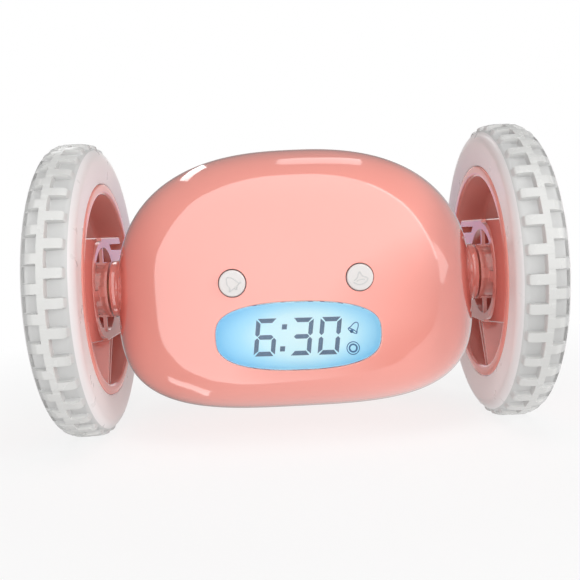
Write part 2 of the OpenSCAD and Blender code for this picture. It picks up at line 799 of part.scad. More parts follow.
module speaker() {
    color("dimgray") at_axles() translate([0, 0, speaker_rise]) difference() {
        union() {
            rod_y(speaker_y - 1.6, speaker_y, speaker_r);
            rod_y(speaker_y - speaker_t, speaker_y, speaker_r * 0.72);
        }
        rod_y(speaker_y - 1.2, speaker_y + past, speaker_r - 1);
    }
}
module speaker_cone() {
    r = speaker_r - 1 - seat_fit;
    y = speaker_y - 1.2 + seat_fit;
    color("black") at_axles() translate([0, y, speaker_rise]) rotate([-90, 0, 0])
        rotate_extrude() polygon([
            [0, 0], [r, 0], [r, 1], [r - 1, 1.1], [r - 1.6, 0.7],
            [r * 0.45, 0.4], [r * 0.3, 0.9], [0, 1.1]]);
}

// ---- Power ----

cell_r = cell_d / 2;
cell_play = 0.1;
pocket_h = 4 * cell_r + 3 * cell_play;
cell_ys = [for (i = [0, 1]) tray_y + tray_wall + cell_play + cell_r + i * (cell_d + cell_play)];
cell_zs = [for (i = [-1, 1]) -tray_drop + i * (cell_r + cell_play / 2)];

door_post_l = 9;
module battery_tray() {
    h = pocket_h + 2 * tray_wall;
    post = case_screw_r + boss_wall;
    post_z = -tray_drop + pocket_h / 2 + tray_wall / 2;
    color("lightsteelblue") at_axles() difference() {
        union() {
            centred_block(tray_w, h, tray_y, tray_y + tray_depth, -tray_drop);
            block(-post, post, door_post_y - door_post_l, door_post_y, post_z, -door_screw_drop + post);
            block(-post, post, tray_y, door_post_y - door_post_l + past, post_z, -door_screw_drop);
        }
        centred_block(pocket_l, pocket_h, tray_y + tray_wall, door_post_y + past, -tray_drop);
        translate([0, 0, -door_screw_drop])
            rod_y(door_post_y - door_screw_depth, door_post_y + past, case_screw_r + seat_fit);
    }
}
module at_cells() {
    // The upper and lower cells of each pair point opposite ways
    for (i = [0, 1], j = [0, 1])
        translate([0, cell_ys[i], cell_zs[j]]) mirror([(i + j) % 2, 0, 0]) children();
}
cell_x0 = -(cell_l + nub_l) / 2;
module batteries() {
    color("darkorange") at_axles() at_cells() {
        rod_x(cell_x0, cell_x0 + cell_l, cell_r);
        rod_x(cell_x0 + cell_l, -cell_x0, cell_r * 0.36);
    }
}
module battery_springs() {
    // Each coil is drawn as a plain cone on its plate, at the flat end of its cell
    plate = 0.4;
    x = cell_x0 - seat_fit - contact_l;
    color("silver") at_axles() at_cells() {
        along_x(x + plate) cylinder(h = contact_l - plate, r1 = cell_r * 0.8, r2 = cell_r * 0.5);
        block(x, x + plate, -cell_r * 0.85, cell_r * 0.85, -cell_r * 0.85, cell_r * 0.85);
    }
}
module battery_plates() {
    plate = 0.4;
    x = -cell_x0 + seat_fit;
    color("silver") at_axles() at_cells() {
        along_x(x) cylinder(h = contact_l - plate, r1 = cell_r * 0.3, r2 = cell_r * 0.5);
        block(x + contact_l - plate, x + contact_l, -cell_r * 0.85, cell_r * 0.85,
              -cell_r * 0.85, cell_r * 0.85);
    }
}

// ---- Gears ----

gear_distance = gear_module * (wheel_teeth + pinion_teeth) / 2;
// A motor fills the depth between the main board's screws and the battery tray
motor_y0 = board_back_y + small_head_t + motor_front_gap;
motor_flat = tray_y - motor_back_gap - motor_y0;
motor_at = [motor_y0 + motor_flat / 2, -motor_drop];
// The idler stands one gear distance from both the motor and the wheel axle
idler_at = let (m = norm(motor_at), h = sqrt(gear_distance * gear_distance - m * m / 4))
    motor_at / 2 + h * [-motor_at.y, motor_at.x] / m;
function direction(from, to) = atan2(to.y - from.y, to.x - from.x);
// Turn of a gear that makes its teeth mesh with a turned neighbour's, which lies at angle from it
function mesh_turn(teeth, angle_back, neighbour_teeth, neighbour_turn) =
    let (phase = (angle_back + 180 - neighbour_turn) * neighbour_teeth / 360)
    angle_back - (0.5 - phase) * 360 / teeth;
idler_turn = mesh_turn(pinion_teeth, direction(idler_at, [0, 0]), wheel_teeth, 0);
pinion_turn = mesh_turn(pinion_teeth, direction(motor_at, idler_at), wheel_teeth, idler_turn);

pressure_angle = 20;
flank_steps = 4;
function involute_polar(base_r, r) =
    let (a = acos(min(1, base_r / r))) tan(a) * 180 / PI - a;
function gear_outline(teeth) =
    let (pitch_r = gear_module * teeth / 2,
         base_r = pitch_r * cos(pressure_angle),
         tip_r = pitch_r + gear_module,
         root_r = pitch_r - 1.25 * gear_module,
         low_r = max(base_r, root_r),
         half = 90 / teeth - backlash / 2 / pitch_r * 180 / PI + involute_polar(base_r, pitch_r),
         rs = [for (i = [0 : flank_steps]) low_r + (tip_r - low_r) * i / flank_steps],
         side = [for (r = rs) [r, half - involute_polar(base_r, r)]],
         tooth = concat([[root_r, -side[0].y]], [for (s = side) [s.x, -s.y]],
                        [for (i = [flank_steps : -1 : 0]) side[i]], [[root_r, side[0].y]]))
    [for (t = [0 : teeth - 1]) for (p = tooth)
        let (a = p.y + t * 360 / teeth) [p.x * cos(a), p.x * sin(a)]];
module gear(teeth, face, turn, bore_r) {
    linear_extrude(face) difference() {
        rotate(turn) polygon(gear_outline(teeth));
        circle(r = bore_r);
    }
}

// ---- Drive, drawn for the right side ----

gear_tip_r = gear_module * (wheel_teeth / 2 + 1);
box_r = gear_tip_r + 0.4 + gearbox_side;
motor_box_r = gear_module * (pinion_teeth / 2 + 1) + 0.6 + gearbox_side;
axle_end_x = lip_x + 6.75;
motor_boss_r = 3;
motor_boss_t = 1.2;
motor_shaft_l = 7; // of the shaft inside the motor
motor_tab_z = 5;
motor_tab_l = 2;
motor_tab_w = 2.4;
motor_tab_t = 0.6;

module box_shape(grow) {
    hull() {
        circle(r = box_r + grow);
        translate(idler_at) circle(r = box_r + grow);
        translate(motor_at) circle(r = motor_box_r + grow);
    }
}
module motor(side) {
    x1 = gearbox_x - seat_fit;
    color("silver") on_side(side) translate([0, motor_at.x, motor_at.y]) difference() {
        union() {
            intersection() {
                rod_x(x1 - motor_l, x1, motor_d / 2);
                block(0, x1, -motor_flat / 2, motor_flat / 2, -motor_d, motor_d);
            }
            rod_x(x1 - past, x1 + motor_boss_t, motor_boss_r);
            for (z = [-1, 1] * motor_tab_z)
                block(x1 - motor_l - motor_tab_l, x1 - motor_l + past,
                      -motor_tab_w / 2, motor_tab_w / 2, z - motor_tab_t / 2, z + motor_tab_t / 2);
        }
        rod_x(gearbox_x - motor_shaft_l - past, x1 + motor_boss_t + past, motor_shaft_r + run_fit);
    }
}
module motor_pinion(side) {
    color("ivory") on_side(side) translate([0, motor_at.x, motor_at.y]) {
        along_x(first_x) gear(pinion_teeth, gear_face, pinion_turn, 0);
        rod_x(gearbox_x - motor_shaft_l, first_x + past, motor_shaft_r);
    }
}
module idler_gear(side) {
    bore = idler_pin_r + run_fit;
    color("ivory") on_side(side) translate([0, idler_at.x, idler_at.y]) {
        along_x(first_x) gear(wheel_teeth, gear_face, idler_turn, bore);
        along_x(first_x + gear_face)
            gear(pinion_teeth, gear_end_x - first_x - gear_face - gear_gap / 2, idler_turn, bore);
    }
}
module idler_pin(side) {
    color("silver") on_side(side) translate([0, idler_at.x, idler_at.y])
        rod_x(gearbox_x + 0.4, cover_x - 0.4, idler_pin_r);
}
module output_gear(side) {
    color("ivory") on_side(side) along_x(second_x) gear(wheel_teeth, gear_face, 0, axle_r + seat_fit);
}
module gearbox_plate(side) {
    color("lightsteelblue") on_side(side) difference() {
        along_x(gearbox_x) linear_extrude(gearbox_wall) box_shape(0);
        translate([0, motor_at.x, motor_at.y])
            rod_x(gearbox_x - past, gearbox_x + gearbox_wall + past, motor_boss_r + seat_fit);
        translate([0, idler_at.x, idler_at.y])
            rod_x(gearbox_x + 0.4 - seat_fit, gearbox_x + gearbox_wall + past, idler_pin_r + seat_fit);
        rod_x(gearbox_x + 0.4 - seat_fit, gearbox_x + gearbox_wall + past, axle_r + run_fit);
    }
}
module gearbox_cover(side) {
    x0 = gearbox_x + gearbox_wall + seat_fit;
    color("lightsteelblue") on_side(side) difference() {
        along_x(x0) linear_extrude(cover_x - x0) box_shape(0);
        along_x(x0 - past) linear_extrude(cover_x - gearbox_wall - x0 + past) box_shape(-gearbox_side);
        rod_x(x0, cover_x + past, axle_r + run_fit);
        translate([0, idler_at.x, idler_at.y]) rod_x(x0, cover_x - 0.4 + seat_fit, idler_pin_r + seat_fit);
    }
}
module axle(side) {
    color("silver") on_side(side) difference() {
        rod_x(gearbox_x + 0.4, axle_end_x, axle_r);
        rod_x(axle_end_x - small_depth, axle_end_x + past, small_screw_r + seat_fit);
    }
}
module bush(side) {
    color("goldenrod") on_side(side) difference() {
        rod_x(bush_x0, boss_end_x + 0.2, bush_r);
        rod_x(bush_x0 - past, boss_end_x + past, axle_r + run_fit);
    }
}

// ---- Wheels, drawn for the right side ----

beam_x = lip_x + beam_inset;
floor_x = lip_x + dish_depth;
rim_end_x = floor_x + dish_floor + 0.9;
well_x = lip_x + well_depth;
hub_x0 = boss_end_x + side_gap;
slot_z = [11.2, 13.2]; // the slot between the two ribs at the back of the beam
spoke_w = 0.8;
spoke_pitch = 1.5;
spoke_from = [6, -13];
spoke_to = [-3, -27.5];

module beam_block(h, x0, x1) { block(x0, x1, -dish_r - past, dish_r + past, -h, h); }
module slanted_spoke() {
    // Two thin parallel walls from the ring down to the rim
    turn = direction(spoke_from, spoke_to);
    reach = norm(spoke_to - spoke_from);
    for (i = [-0.5, 0.5])
        along_x(beam_x + 0.2) translate(spoke_from) rotate(turn)
            translate([0, i * spoke_pitch - spoke_w / 2]) cube([reach, spoke_w, floor_x - beam_x]);
}
module rim(side) {
    color("salmon") on_side(side) difference() {
        union() {
            along_x() rotate_extrude() polygon([
                [dish_r, lip_x + 0.5], [dish_r + 0.5, lip_x], [lip_r - 0.4, lip_x], [lip_r, lip_x + 0.4],
                [lip_r, rim_end_x], [lip_r - 1.4, rim_end_x], [lip_r - 1.4, floor_x + dish_floor],
                [0, floor_x + dish_floor], [0, floor_x], [dish_r - 1.2, floor_x], [dish_r, floor_x - 1.2]]);
            intersection() {
                rod_x(beam_x, floor_x + dish_floor / 2, dish_r + 0.5);
                beam_block(beam_h, beam_x, floor_x + dish_floor / 2);
            }
            slanted_spoke();
        }
        rod_x(beam_x - past, well_x, well_r);
        rod_x(beam_x - past, beam_x + ring_t - 0.2, ring_r + seat_fit);
        // The slot at the back of the beam, between two ribs
        block(beam_x - past, floor_x - 2.5, ring_r + 1.6, dish_r - 3, slot_z[0], slot_z[1]);
        // The beam is hollow from the wheel's outer side
        difference() {
            intersection() {
                rod_x(beam_x + beam_wall, floor_x + dish_floor + past, dish_r - beam_wall);
                union() {
                    beam_block(slot_z[0] - beam_wall, beam_x + beam_wall, floor_x + dish_floor + past);
                    block(beam_x, floor_x + dish_floor + past, -dish_r, 0,
                          -beam_h + beam_wall, beam_h - beam_wall);
                }
            }
            rod_x(beam_x, floor_x + dish_floor + 2 * past, well_r + beam_wall);
        }
        rod_x(well_x - past, floor_x + dish_floor + past, hub_r + seat_fit);
    }
}

web_count = 4;
module hub(side) {
    base_t = 1.6;
    end_x = floor_x + dish_floor;
    core_r = hub_r - 0.5;
    color("salmon") on_side(side) difference() {
        union() {
            rod_x(hub_x0, hub_x0 + 0.9, hub_r);
            rod_x(hub_x0 + 0.5, end_x, core_r);
            rod_x(well_x - base_t, well_x - seat_fit, well_r - seat_fit);
            rod_x(well_x - base_t, end_x, hub_r);
            along_x(beam_x - 0.2) linear_extrude(ring_t) difference() {
                circle(r = ring_r);
                circle(r = well_r);
            }
            for (i = [0 : web_count - 1]) rotate([i * 360 / web_count, 0, 0]) {
                block(hub_x0 + 0.2, well_x - base_t / 2, -1.5, 1.5, core_r - 1, hub_r);
                block(beam_x, beam_x + ring_t - 0.2, -0.5, 0.5, core_r - 1, well_r + 0.5);
            }
        }
        rod_x(hub_x0 - past, axle_end_x + seat_fit, axle_r + seat_fit);
        rod_x(axle_end_x - past, end_x + past, small_screw_r + trim_fit);
        rod_x(axle_end_x + 1.4, end_x + past, small_head_r + trim_fit);
    }
}

tyre_in_r = lip_r + trim_fit;
tread_r = wheel_r - lug_h;
tyre_x0 = lip_x - 0.25;
tyre_x1 = tyre_x0 + tyre_w;
tread_mid_x = lip_x + 7.2;
shoulder_r = tread_r - 3.4;
function arc_points(cx, cr, rx, rr, a0, a1, n) =
    [for (i = [0 : n]) let (a = a0 + (a1 - a0) * i / n) [cr + rr * sin(a), cx + rx * cos(a)]];
module tyre_section() {
    // [radius, x] outline of the hollow tyre: bead, inner shoulder, tread, outer shoulder, bead, cavity
    polygon(concat(
        [[tyre_in_r, tyre_x0 + 0.45]],
        arc_points(tyre_x0 + 3, shoulder_r, 3, tread_r - shoulder_r, 180, 90, 8),
        arc_points(tyre_x1 - 2.6, shoulder_r, 2.6, tread_r - shoulder_r, 90, 0, 8),
        [[tyre_in_r, tyre_x1 - 0.5], [tyre_in_r, tyre_x1 - tyre_wall],
         [shoulder_r, tyre_x1 - tyre_wall - 0.4], [tread_r - tyre_wall, tyre_x1 - tyre_wall - 2],
         [tread_r - tyre_wall, tyre_x0 + tyre_wall + 2], [shoulder_r, tyre_x0 + tyre_wall + 0.3],
         [tyre_in_r, tyre_x0 + tyre_wall]]));
}
rib_x0 = tread_mid_x - rib_w / 2;
rib_x1 = tread_mid_x + rib_w / 2;
rib_r = wheel_r - 0.12;
lug_foot = tread_r - 0.6;
lug_end = 0.6; // how far a lug runs into the rib
inner_lug = [[lug_foot, rib_x0 + lug_end], [wheel_r, rib_x0 + lug_end], [wheel_r, tyre_x0 + 3.4],
             [wheel_r - 0.4, tyre_x0 + 2.2], [tread_r - 0.3, tyre_x0 + 1.7],
             [lug_foot - 0.6, tyre_x0 + 2.4]];
outer_lug = [[lug_foot, rib_x1 - lug_end], [wheel_r, rib_x1 - lug_end], [wheel_r - 0.1, tyre_x1 - 2],
             [wheel_r - 0.9, tyre_x1 - 0.7], [shoulder_r + 1.6, tyre_x1 + 0.3],
             [shoulder_r + 0.6, tyre_x1 + 0.2], [shoulder_r, tyre_x1 - 1.2]];
module lugs(section, first) {
    width = lug_w / wheel_r * 180 / PI;
    for (i = [0 : lug_count - 1])
        along_x() rotate(first + i * 360 / lug_count - width / 2)
            rotate_extrude(angle = width) polygon(section);
}
module tyre(side) {
    color("white") on_side(side) {
        along_x() rotate_extrude() tyre_section();
        along_x() rotate_extrude()
            polygon([[lug_foot, rib_x0], [rib_r, rib_x0], [rib_r, rib_x1], [lug_foot, rib_x1]]);
        lugs(inner_lug, 180);
        lugs(outer_lug, 180 + 180 / lug_count);
    }
}
module wheel_cover(side) {
    // A shallow dish with a raised rim ring and a raised middle
    x0 = floor_x + dish_floor + seat_fit;
    r = lip_r - 1.4 - trim_fit;
    color("salmon") on_side(side) along_x() rotate_extrude() polygon([
        [0, x0], [r, x0], [r, x0 + cover_t], [r - 2.5, x0 + cover_t + 0.4], [r - 4, x0 + cover_t],
        [12, x0 + cover_t - 0.5], [9, x0 + cover_t - 0.1],
        [7.5, x0 + cover_t + 0.4], [0, x0 + cover_t + 0.5]]);
}
module wheel_screw(side) {
    x = axle_end_x + 1.4 + seat_fit;
    color("silver") on_side(side) rotate([0, 0, -90])
        screw_y(x, small_depth, small_screw_r, small_head_r, small_head_t);
}

front_shell();
rear_shell();
battery_door();
battery_door_screw();
case_screws();
display_lens();
lcd_panel();
lcd_segments();
light_guide();
display_frame();
contact_strip();
main_board();
board_chips();
board_screws();
front_switches();
alarm_button();
snooze_button();
key_board();
key_switches();
hour_key();
minute_key();
time_key();
alarm_key();
speaker();
speaker_cone();
speaker_grille();
battery_tray();
batteries();
battery_springs();
battery_plates();
motor(-1);  // left_motor
motor_pinion(-1);  // left_motor_pinion
idler_gear(-1);  // left_idler_gear
idler_pin(-1);  // left_idler_pin
output_gear(-1);  // left_output_gear
gearbox_plate(-1);  // left_gearbox_plate
gearbox_cover(-1);  // left_gearbox_cover
axle(-1);  // left_axle
bush(-1);  // left_bush
rim(-1);  // left_rim
hub(-1);  // left_hub
tyre(-1);  // left_tyre
wheel_cover(-1);  // left_wheel_cover
wheel_screw(-1);  // left_wheel_screw
motor(1);  // right_motor
motor_pinion(1);  // right_motor_pinion
idler_gear(1);  // right_idler_gear
idler_pin(1);  // right_idler_pin
output_gear(1);  // right_output_gear
gearbox_plate(1);  // right_gearbox_plate
gearbox_cover(1);  // right_gearbox_cover
axle(1);  // right_axle
bush(1);  // right_bush
rim(1);  // right_rim
hub(1);  // right_hub
tyre(1);  // right_tyre
wheel_cover(1);  // right_wheel_cover
wheel_screw(1);  // right_wheel_screw
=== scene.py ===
import math

import bmesh
import bpy
import numpy as np
from mathutils import Matrix, Vector


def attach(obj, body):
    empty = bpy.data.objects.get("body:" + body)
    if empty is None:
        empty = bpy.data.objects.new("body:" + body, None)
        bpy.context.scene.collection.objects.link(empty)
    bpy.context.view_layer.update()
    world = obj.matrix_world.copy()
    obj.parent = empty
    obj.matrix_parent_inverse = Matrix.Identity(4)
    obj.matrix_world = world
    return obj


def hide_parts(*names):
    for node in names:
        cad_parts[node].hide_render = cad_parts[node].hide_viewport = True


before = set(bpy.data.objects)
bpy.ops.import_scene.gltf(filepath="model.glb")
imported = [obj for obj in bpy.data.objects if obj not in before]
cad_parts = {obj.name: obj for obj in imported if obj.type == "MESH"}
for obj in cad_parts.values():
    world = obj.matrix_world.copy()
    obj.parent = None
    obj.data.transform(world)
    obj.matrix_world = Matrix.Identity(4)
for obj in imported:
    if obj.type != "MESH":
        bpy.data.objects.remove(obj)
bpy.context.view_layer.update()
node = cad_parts

# Lengths are in millimetres from the middle of the wheel axles until a piece is made
AXLE_Z = 42.5


def metres(points):
    return (np.asarray(points, float) + (0, 0, AXLE_Z)) * 0.001


def unit(v):
    """Rows scaled to length 1."""
    return v / np.maximum(np.linalg.norm(v, axis=-1, keepdims=True), 1e-12)


def add_object(name, data):
    o = bpy.data.objects.new(name, data)
    bpy.context.scene.collection.objects.link(o)
    return o


# ---- Camera: the photograph's viewpoint ----

# Fitted to the photograph: the place, the focal length in its pixels, and the angles in degrees
CAM_AT = (-3.517, -218.895, 14.389)
FOCAL_PX, PICTURE_PX, SENSOR_W = 739.1, 580, 36
YAW, PITCH, ROLL = -0.569, 4.5, 2.796


def camera_axes():
    """Rows: the camera's right, down and forward directions."""
    angles = [math.radians(a) for a in (YAW, PITCH, ROLL)]
    cy, sy, cp, sp, cr, sr = (f(a) for a in angles for f in (math.cos, math.sin))
    turn = np.array([[cy, sy, 0], [-sy, cy, 0], [0, 0, 1]])
    tilt = np.array([[1, 0, 0], [0, cp, -sp], [0, sp, cp]])
    look = np.array([[1, 0, 0], [0, 0, -1], [0, 1, 0]])
    lean = np.array([[cr, sr, 0], [-sr, cr, 0], [0, 0, 1]])
    return lean @ look @ tilt @ turn


right, down, forward = camera_axes()
cam_data = bpy.data.cameras.new("camera")
cam_data.sensor_width = SENSOR_W
cam_data.lens = FOCAL_PX * SENSOR_W / PICTURE_PX
cam_data.clip_start = 0.005
cam_data.clip_end = 50
cam = add_object("camera", cam_data)
cam.matrix_world = Matrix.Translation(metres(CAM_AT)) @ Matrix(
    [[right[i], -down[i], -forward[i]] for i in range(3)]).to_4x4()
bpy.context.scene.camera = cam
bpy.context.scene.view_settings.view_transform = "Standard"

# ---- Materials ----


def srgb(*levels):
    """A linear colour from 8-bit sRGB levels."""
    shares = [v / 255 for v in levels]
    return tuple(c / 12.92 if c <= 0.04045 else ((c + 0.055) / 1.055) ** 2.4 for c in shares)


def add_node(tree, kind, **values):
    """A new node. Each value is one of its settings, or else the default of an input."""
    n = tree.nodes.new(kind)
    for key, value in values.items():
        if hasattr(n, key):
            setattr(n, key, value)
        else:
            n.inputs[key.replace("_", " ")].default_value = value
    return n


class Shader:
    """A small helper round a node material with one Principled shader."""

    def __init__(self, name):
        self.material = bpy.data.materials.new(name)
        self.material.use_nodes = True
        self.tree = self.material.node_tree
        self.bsdf = self.tree.nodes["Principled BSDF"]

    def add(self, kind, **values):
        return add_node(self.tree, kind, **values)

    def link(self, a, b):
        self.tree.links.new(a, b)

    def feed(self, name, socket):
        self.link(socket, self.bsdf.inputs[name])

    def set(self, **values):
        for key, value in values.items():
            self.bsdf.inputs[key.replace("_", " ")].default_value = value
        return self

    def coords(self):
        return self.add("ShaderNodeTexCoord").outputs["Object"]

    def noise(self, scale, detail=3, stretch=None):
        n = self.add("ShaderNodeTexNoise", Scale=scale, Detail=detail)
        place = self.coords()
        if stretch:
            m = self.add("ShaderNodeMapping", Scale=stretch)
            self.link(place, m.inputs["Vector"])
            place = m.outputs["Vector"]
        self.link(place, n.inputs["Vector"])
        return n.outputs["Fac"]

    def drift(self, fac, low, high):
        """A colour that a noise moves between two."""
        return self.ramp(fac, [(0.3, low), (0.7, high)])

    def ramp(self, fac, stops):
        r = self.add("ShaderNodeValToRGB")
        e = r.color_ramp.elements
        while len(e) < len(stops):
            e.new(0.5)
        for stop, (at, colour) in zip(e, stops):
            stop.position = at
            stop.color = (*colour, 1)
        self.link(fac, r.inputs["Fac"])
        return r.outputs["Color"]

    def span(self, fac, low, high):
        m = self.add("ShaderNodeMapRange", To_Min=low, To_Max=high)
        self.link(fac, m.inputs["Value"])
        return m.outputs["Result"]

    def bump(self, height, distance):
        b = self.add("ShaderNodeBump", Strength=1.0, Distance=distance)
        self.link(height, b.inputs["Height"])
        self.feed("Normal", b.outputs["Normal"])


def moulded(name, colour, rough=(0.2, 0.28), vary=0.04, grain=900, relief=4e-6, **extra):
    """Moulded plastic: slow colour drift, a roughness that wanders, and a fine skin."""
    s = Shader(name)
    dark = tuple(c * (1 - vary) for c in colour)
    light = tuple(min(1, c * (1 + vary)) for c in colour)
    s.feed("Base Color", s.drift(s.noise(45, 4), dark, light))
    s.feed("Roughness", s.span(s.noise(160, 5), *rough))
    s.bump(s.noise(grain, 2), relief)
    return s.set(**extra).material


def metal(name, colour, rough=(0.2, 0.4), stretch=None):
    """Bare metal, with its grain drawn out along an axis where stretch says so."""
    s = Shader(name)
    dark = tuple(c * 0.85 for c in colour)
    s.feed("Base Color", s.drift(s.noise(300, 6, stretch), dark, colour))
    s.feed("Roughness", s.span(s.noise(700, 4, stretch), *rough))
    s.bump(s.noise(1500, 2, stretch), 2e-6)
    return s.set(Metallic=1.0).material


def textured(name, colour):
    """Plastic from a mould with a coarse, matt skin."""
    return moulded(name, colour, (0.6, 0.7), 0.04, 1500, 8e-6, Specular_IOR_Level=0.1)


casing = moulded("coral_gloss", srgb(243, 157, 145), (0.09, 0.12), 0.012, 500, 1.2e-6, Coat_Weight=1.0,
                 Coat_Roughness=0.03)
# The wheels are the casing's coral made a little darker: a painted shade
wheel_coral = moulded("wheel_coral", srgb(228, 150, 139), (0.16, 0.22), 0.03, 700, 2e-6, Coat_Weight=0.3)
# Darker, browner coral for the beam's sloping face, a painted shade, and a paler one for the dish's floor and
# wall, painted light
beam_face_painted_shade = textured("wheel_textured", srgb(206, 122, 112))
dish_painted_light = textured("dish_coral_painted_light", srgb(226, 170, 162))
# The tyre's one rubber in three tones: darker in the grooves, a painted shade, and lighter on the walls,
# painted light
groove_rubber = moulded("groove_rubber", srgb(196, 196, 195), (0.34, 0.42), 0.015, 900, 4e-6)
lug_rubber = moulded("lug_rubber", srgb(209, 209, 207), (0.24, 0.3), 0.015, 900, 3e-6)
wall_rubber = moulded("wall_rubber", srgb(226, 223, 223), (0.26, 0.3), 0.012, 900, 2e-6)
button_white = moulded("button_satin", srgb(217, 213, 211), (0.35, 0.45), 0.02, 1200, 6e-6)
# The marks are a greyer copy of the cap's white: painted shade along the raised lines
painted_shade_mark = moulded("button_mark", srgb(200, 200, 199), (0.4, 0.5), 0.02, 1200, 3e-6)
nylon = moulded("nylon", srgb(233, 226, 205), (0.4, 0.5), 0.03)
abs_white = moulded("white_moulding", srgb(222, 221, 216), (0.4, 0.55), 0.03)
black = moulded("black_moulding", srgb(34, 34, 37), (0.4, 0.6), 0.1)
pinkish = moulded("elastomer", srgb(176, 120, 130), (0.5, 0.7), 0.08)
steel = metal("zinc_steel", (0.62, 0.62, 0.64))
pin_steel = metal("ground_steel", (0.7, 0.7, 0.72), (0.15, 0.25), (1, 0.1, 0.1))
nickel = metal("nickel", (0.72, 0.7, 0.66), (0.15, 0.3))
bronze = metal("bush_bronze", (0.66, 0.44, 0.2), (0.35, 0.5))
can = metal("motor_can", (0.6, 0.6, 0.62), (0.25, 0.4), (0.1, 1, 1))
basket = metal("speaker_basket", (0.45, 0.45, 0.47), (0.3, 0.5))


def board_material():
    """Green lacquer over a grid of copper."""
    s = Shader("solder_mask")
    n = s.add("ShaderNodeTexBrick", Scale=220, Mortar_Size=0.04)
    s.link(s.coords(), n.inputs["Vector"])
    greens = [(0.0, srgb(20, 92, 52)), (1.0, srgb(46, 128, 74))]
    s.feed("Base Color", s.ramp(n.outputs["Fac"], greens))
    s.feed("Roughness", s.span(s.noise(400), 0.3, 0.45))
    return s.material


def cell_material():
    """A printed sleeve, darker towards one end, with a pale band between."""
    half = 0.0225
    s = Shader("cell_sleeve")
    x = s.add("ShaderNodeSeparateXYZ")
    s.link(s.coords(), x.inputs[0])
    along = s.add("ShaderNodeMapRange", From_Min=-half, From_Max=half)
    s.link(x.outputs["X"], along.inputs["Value"])
    dark, pale, main = srgb(38, 44, 52), srgb(206, 208, 206), srgb(74, 126, 92)
    stops = [(0.0, main), (0.66, main), (0.67, pale), (0.71, pale), (0.72, dark), (1.0, dark)]
    s.feed("Base Color", s.ramp(along.outputs["Result"], stops))
    s.feed("Roughness", s.span(s.noise(300), 0.25, 0.35))
    return s.material


LCD_Z = -12.8
GLOW_X, GLOW_REACH_X, GLOW_REACH_Z = 1.5, 24.0, 11.5


def lit(name, stops, strength):
    """A glowing surface: the backlit panel, or the frame's walls, whose glow is a painted reflection of that
    backlight. The glow falls off from the middle of the display, with a slight grain.
    """
    grain, body_share = 0.03, 0.35
    s = Shader(name)
    m = s.add("ShaderNodeMapping", Location=(-GLOW_X / GLOW_REACH_X, 0, -(LCD_Z + AXLE_Z) / GLOW_REACH_Z),
              Scale=(1000 / GLOW_REACH_X, 0, 1000 / GLOW_REACH_Z))
    s.link(s.coords(), m.inputs["Vector"])
    length = s.add("ShaderNodeVectorMath", operation="LENGTH")
    s.link(m.outputs["Vector"], length.inputs[0])
    mixed = s.add("ShaderNodeMath", operation="MULTIPLY_ADD")
    s.link(s.noise(900, 2), mixed.inputs[0])
    mixed.inputs[1].default_value = grain
    s.link(length.outputs["Value"], mixed.inputs[2])
    body = [(at, [body_share * c for c in colour]) for at, colour in stops]
    s.feed("Base Color", s.ramp(mixed.outputs[0], body))
    s.feed("Emission Color", s.ramp(mixed.outputs[0], stops))
    s.feed("Roughness", s.span(s.noise(500), 0.25, 0.35))
    return s.set(Emission_Strength=strength).material


glow = lit("lit_panel", [(0.0, srgb(219, 241, 243)), (0.5, srgb(208, 240, 248)), (0.72, srgb(168, 225, 251)),
                         (1.0, srgb(124, 205, 252))], 0.72)
# The frame's walls are no lamp: their blue glow is a painted reflection of the backlit panel
frame_painted_glow = lit("painted_frame_glow", [(0.0, srgb(190, 228, 248)), (1.0, srgb(110, 196, 250))], 0.55)
ink = moulded("lcd_ink", srgb(98, 120, 146), (0.45, 0.55), 0.05)
icon_ink = moulded("lcd_icon_ink", srgb(62, 116, 166), (0.45, 0.55), 0.05)


def lens_material():
    s = Shader("clear_lens")
    s.feed("Roughness", s.span(s.noise(80), 0.0, 0.02))
    return s.set(Base_Color=(0.93, 0.98, 1, 1), Transmission_Weight=1.0, IOR=1.3).material


clear = lens_material()

BODY_MATERIALS = (
    (steel, "case_screws battery_door_screw board_screws"), (glow, "lcd_panel light_guide"),
    (ink, "lcd_segments"), (frame_painted_glow, "display_frame"), (pinkish, "contact_strip"),
    (board_material(), "main_board key_board"), (basket, "speaker"), (abs_white, "battery_tray"),
    (black, "board_chips front_switches key_switches speaker_cone"), (cell_material(), "batteries"),
    (nickel, "battery_springs battery_plates"))
SIDE_MATERIALS = (
    (can, "motor"), (nylon, "motor_pinion idler_gear output_gear"), (pin_steel, "idler_pin axle"),
    (abs_white, "gearbox_plate gearbox_cover"), (bronze, "bush"), (wheel_coral, "rim hub wheel_cover"),
    (steel, "wheel_screw"))
MATERIAL_OF = {name: material for material, names in BODY_MATERIALS for name in names.split()}
for side in ("left", "right"):
    for material, names in SIDE_MATERIALS:
        MATERIAL_OF.update({f"{side}_{name}": material for name in names.split()})
for name, material in MATERIAL_OF.items():
    o = node[name]
    o.data.materials.clear()
    o.data.materials.append(material)
    if name.endswith("wheel_cover"):
        # The casing in the photograph reflects its studio and not the wheels beside it
        o.visible_glossy = False

# ---- Making meshes ----


def new_object(name, points, faces, material):
    mesh = bpy.data.meshes.new(name)
    mesh.from_pydata([tuple(p) for p in metres(points)], [], [tuple(int(i) for i in f) for f in faces])
    mesh.validate()
    mesh.materials.append(material)
    return add_object(name, mesh)


def tidy_normals(o, merge_within=None):
    """Turns all faces outwards."""
    b = bmesh.new()
    b.from_mesh(o.data)
    if merge_within:
        bmesh.ops.remove_doubles(b, verts=b.verts, dist=merge_within)
    bmesh.ops.recalc_face_normals(b, faces=b.faces)
    b.to_mesh(o.data)
    b.free()
    o.data.update()
    return o


def weld(o):
    """Merges points that coincide, and turns all faces outwards."""
    return tidy_normals(o, 1e-7)


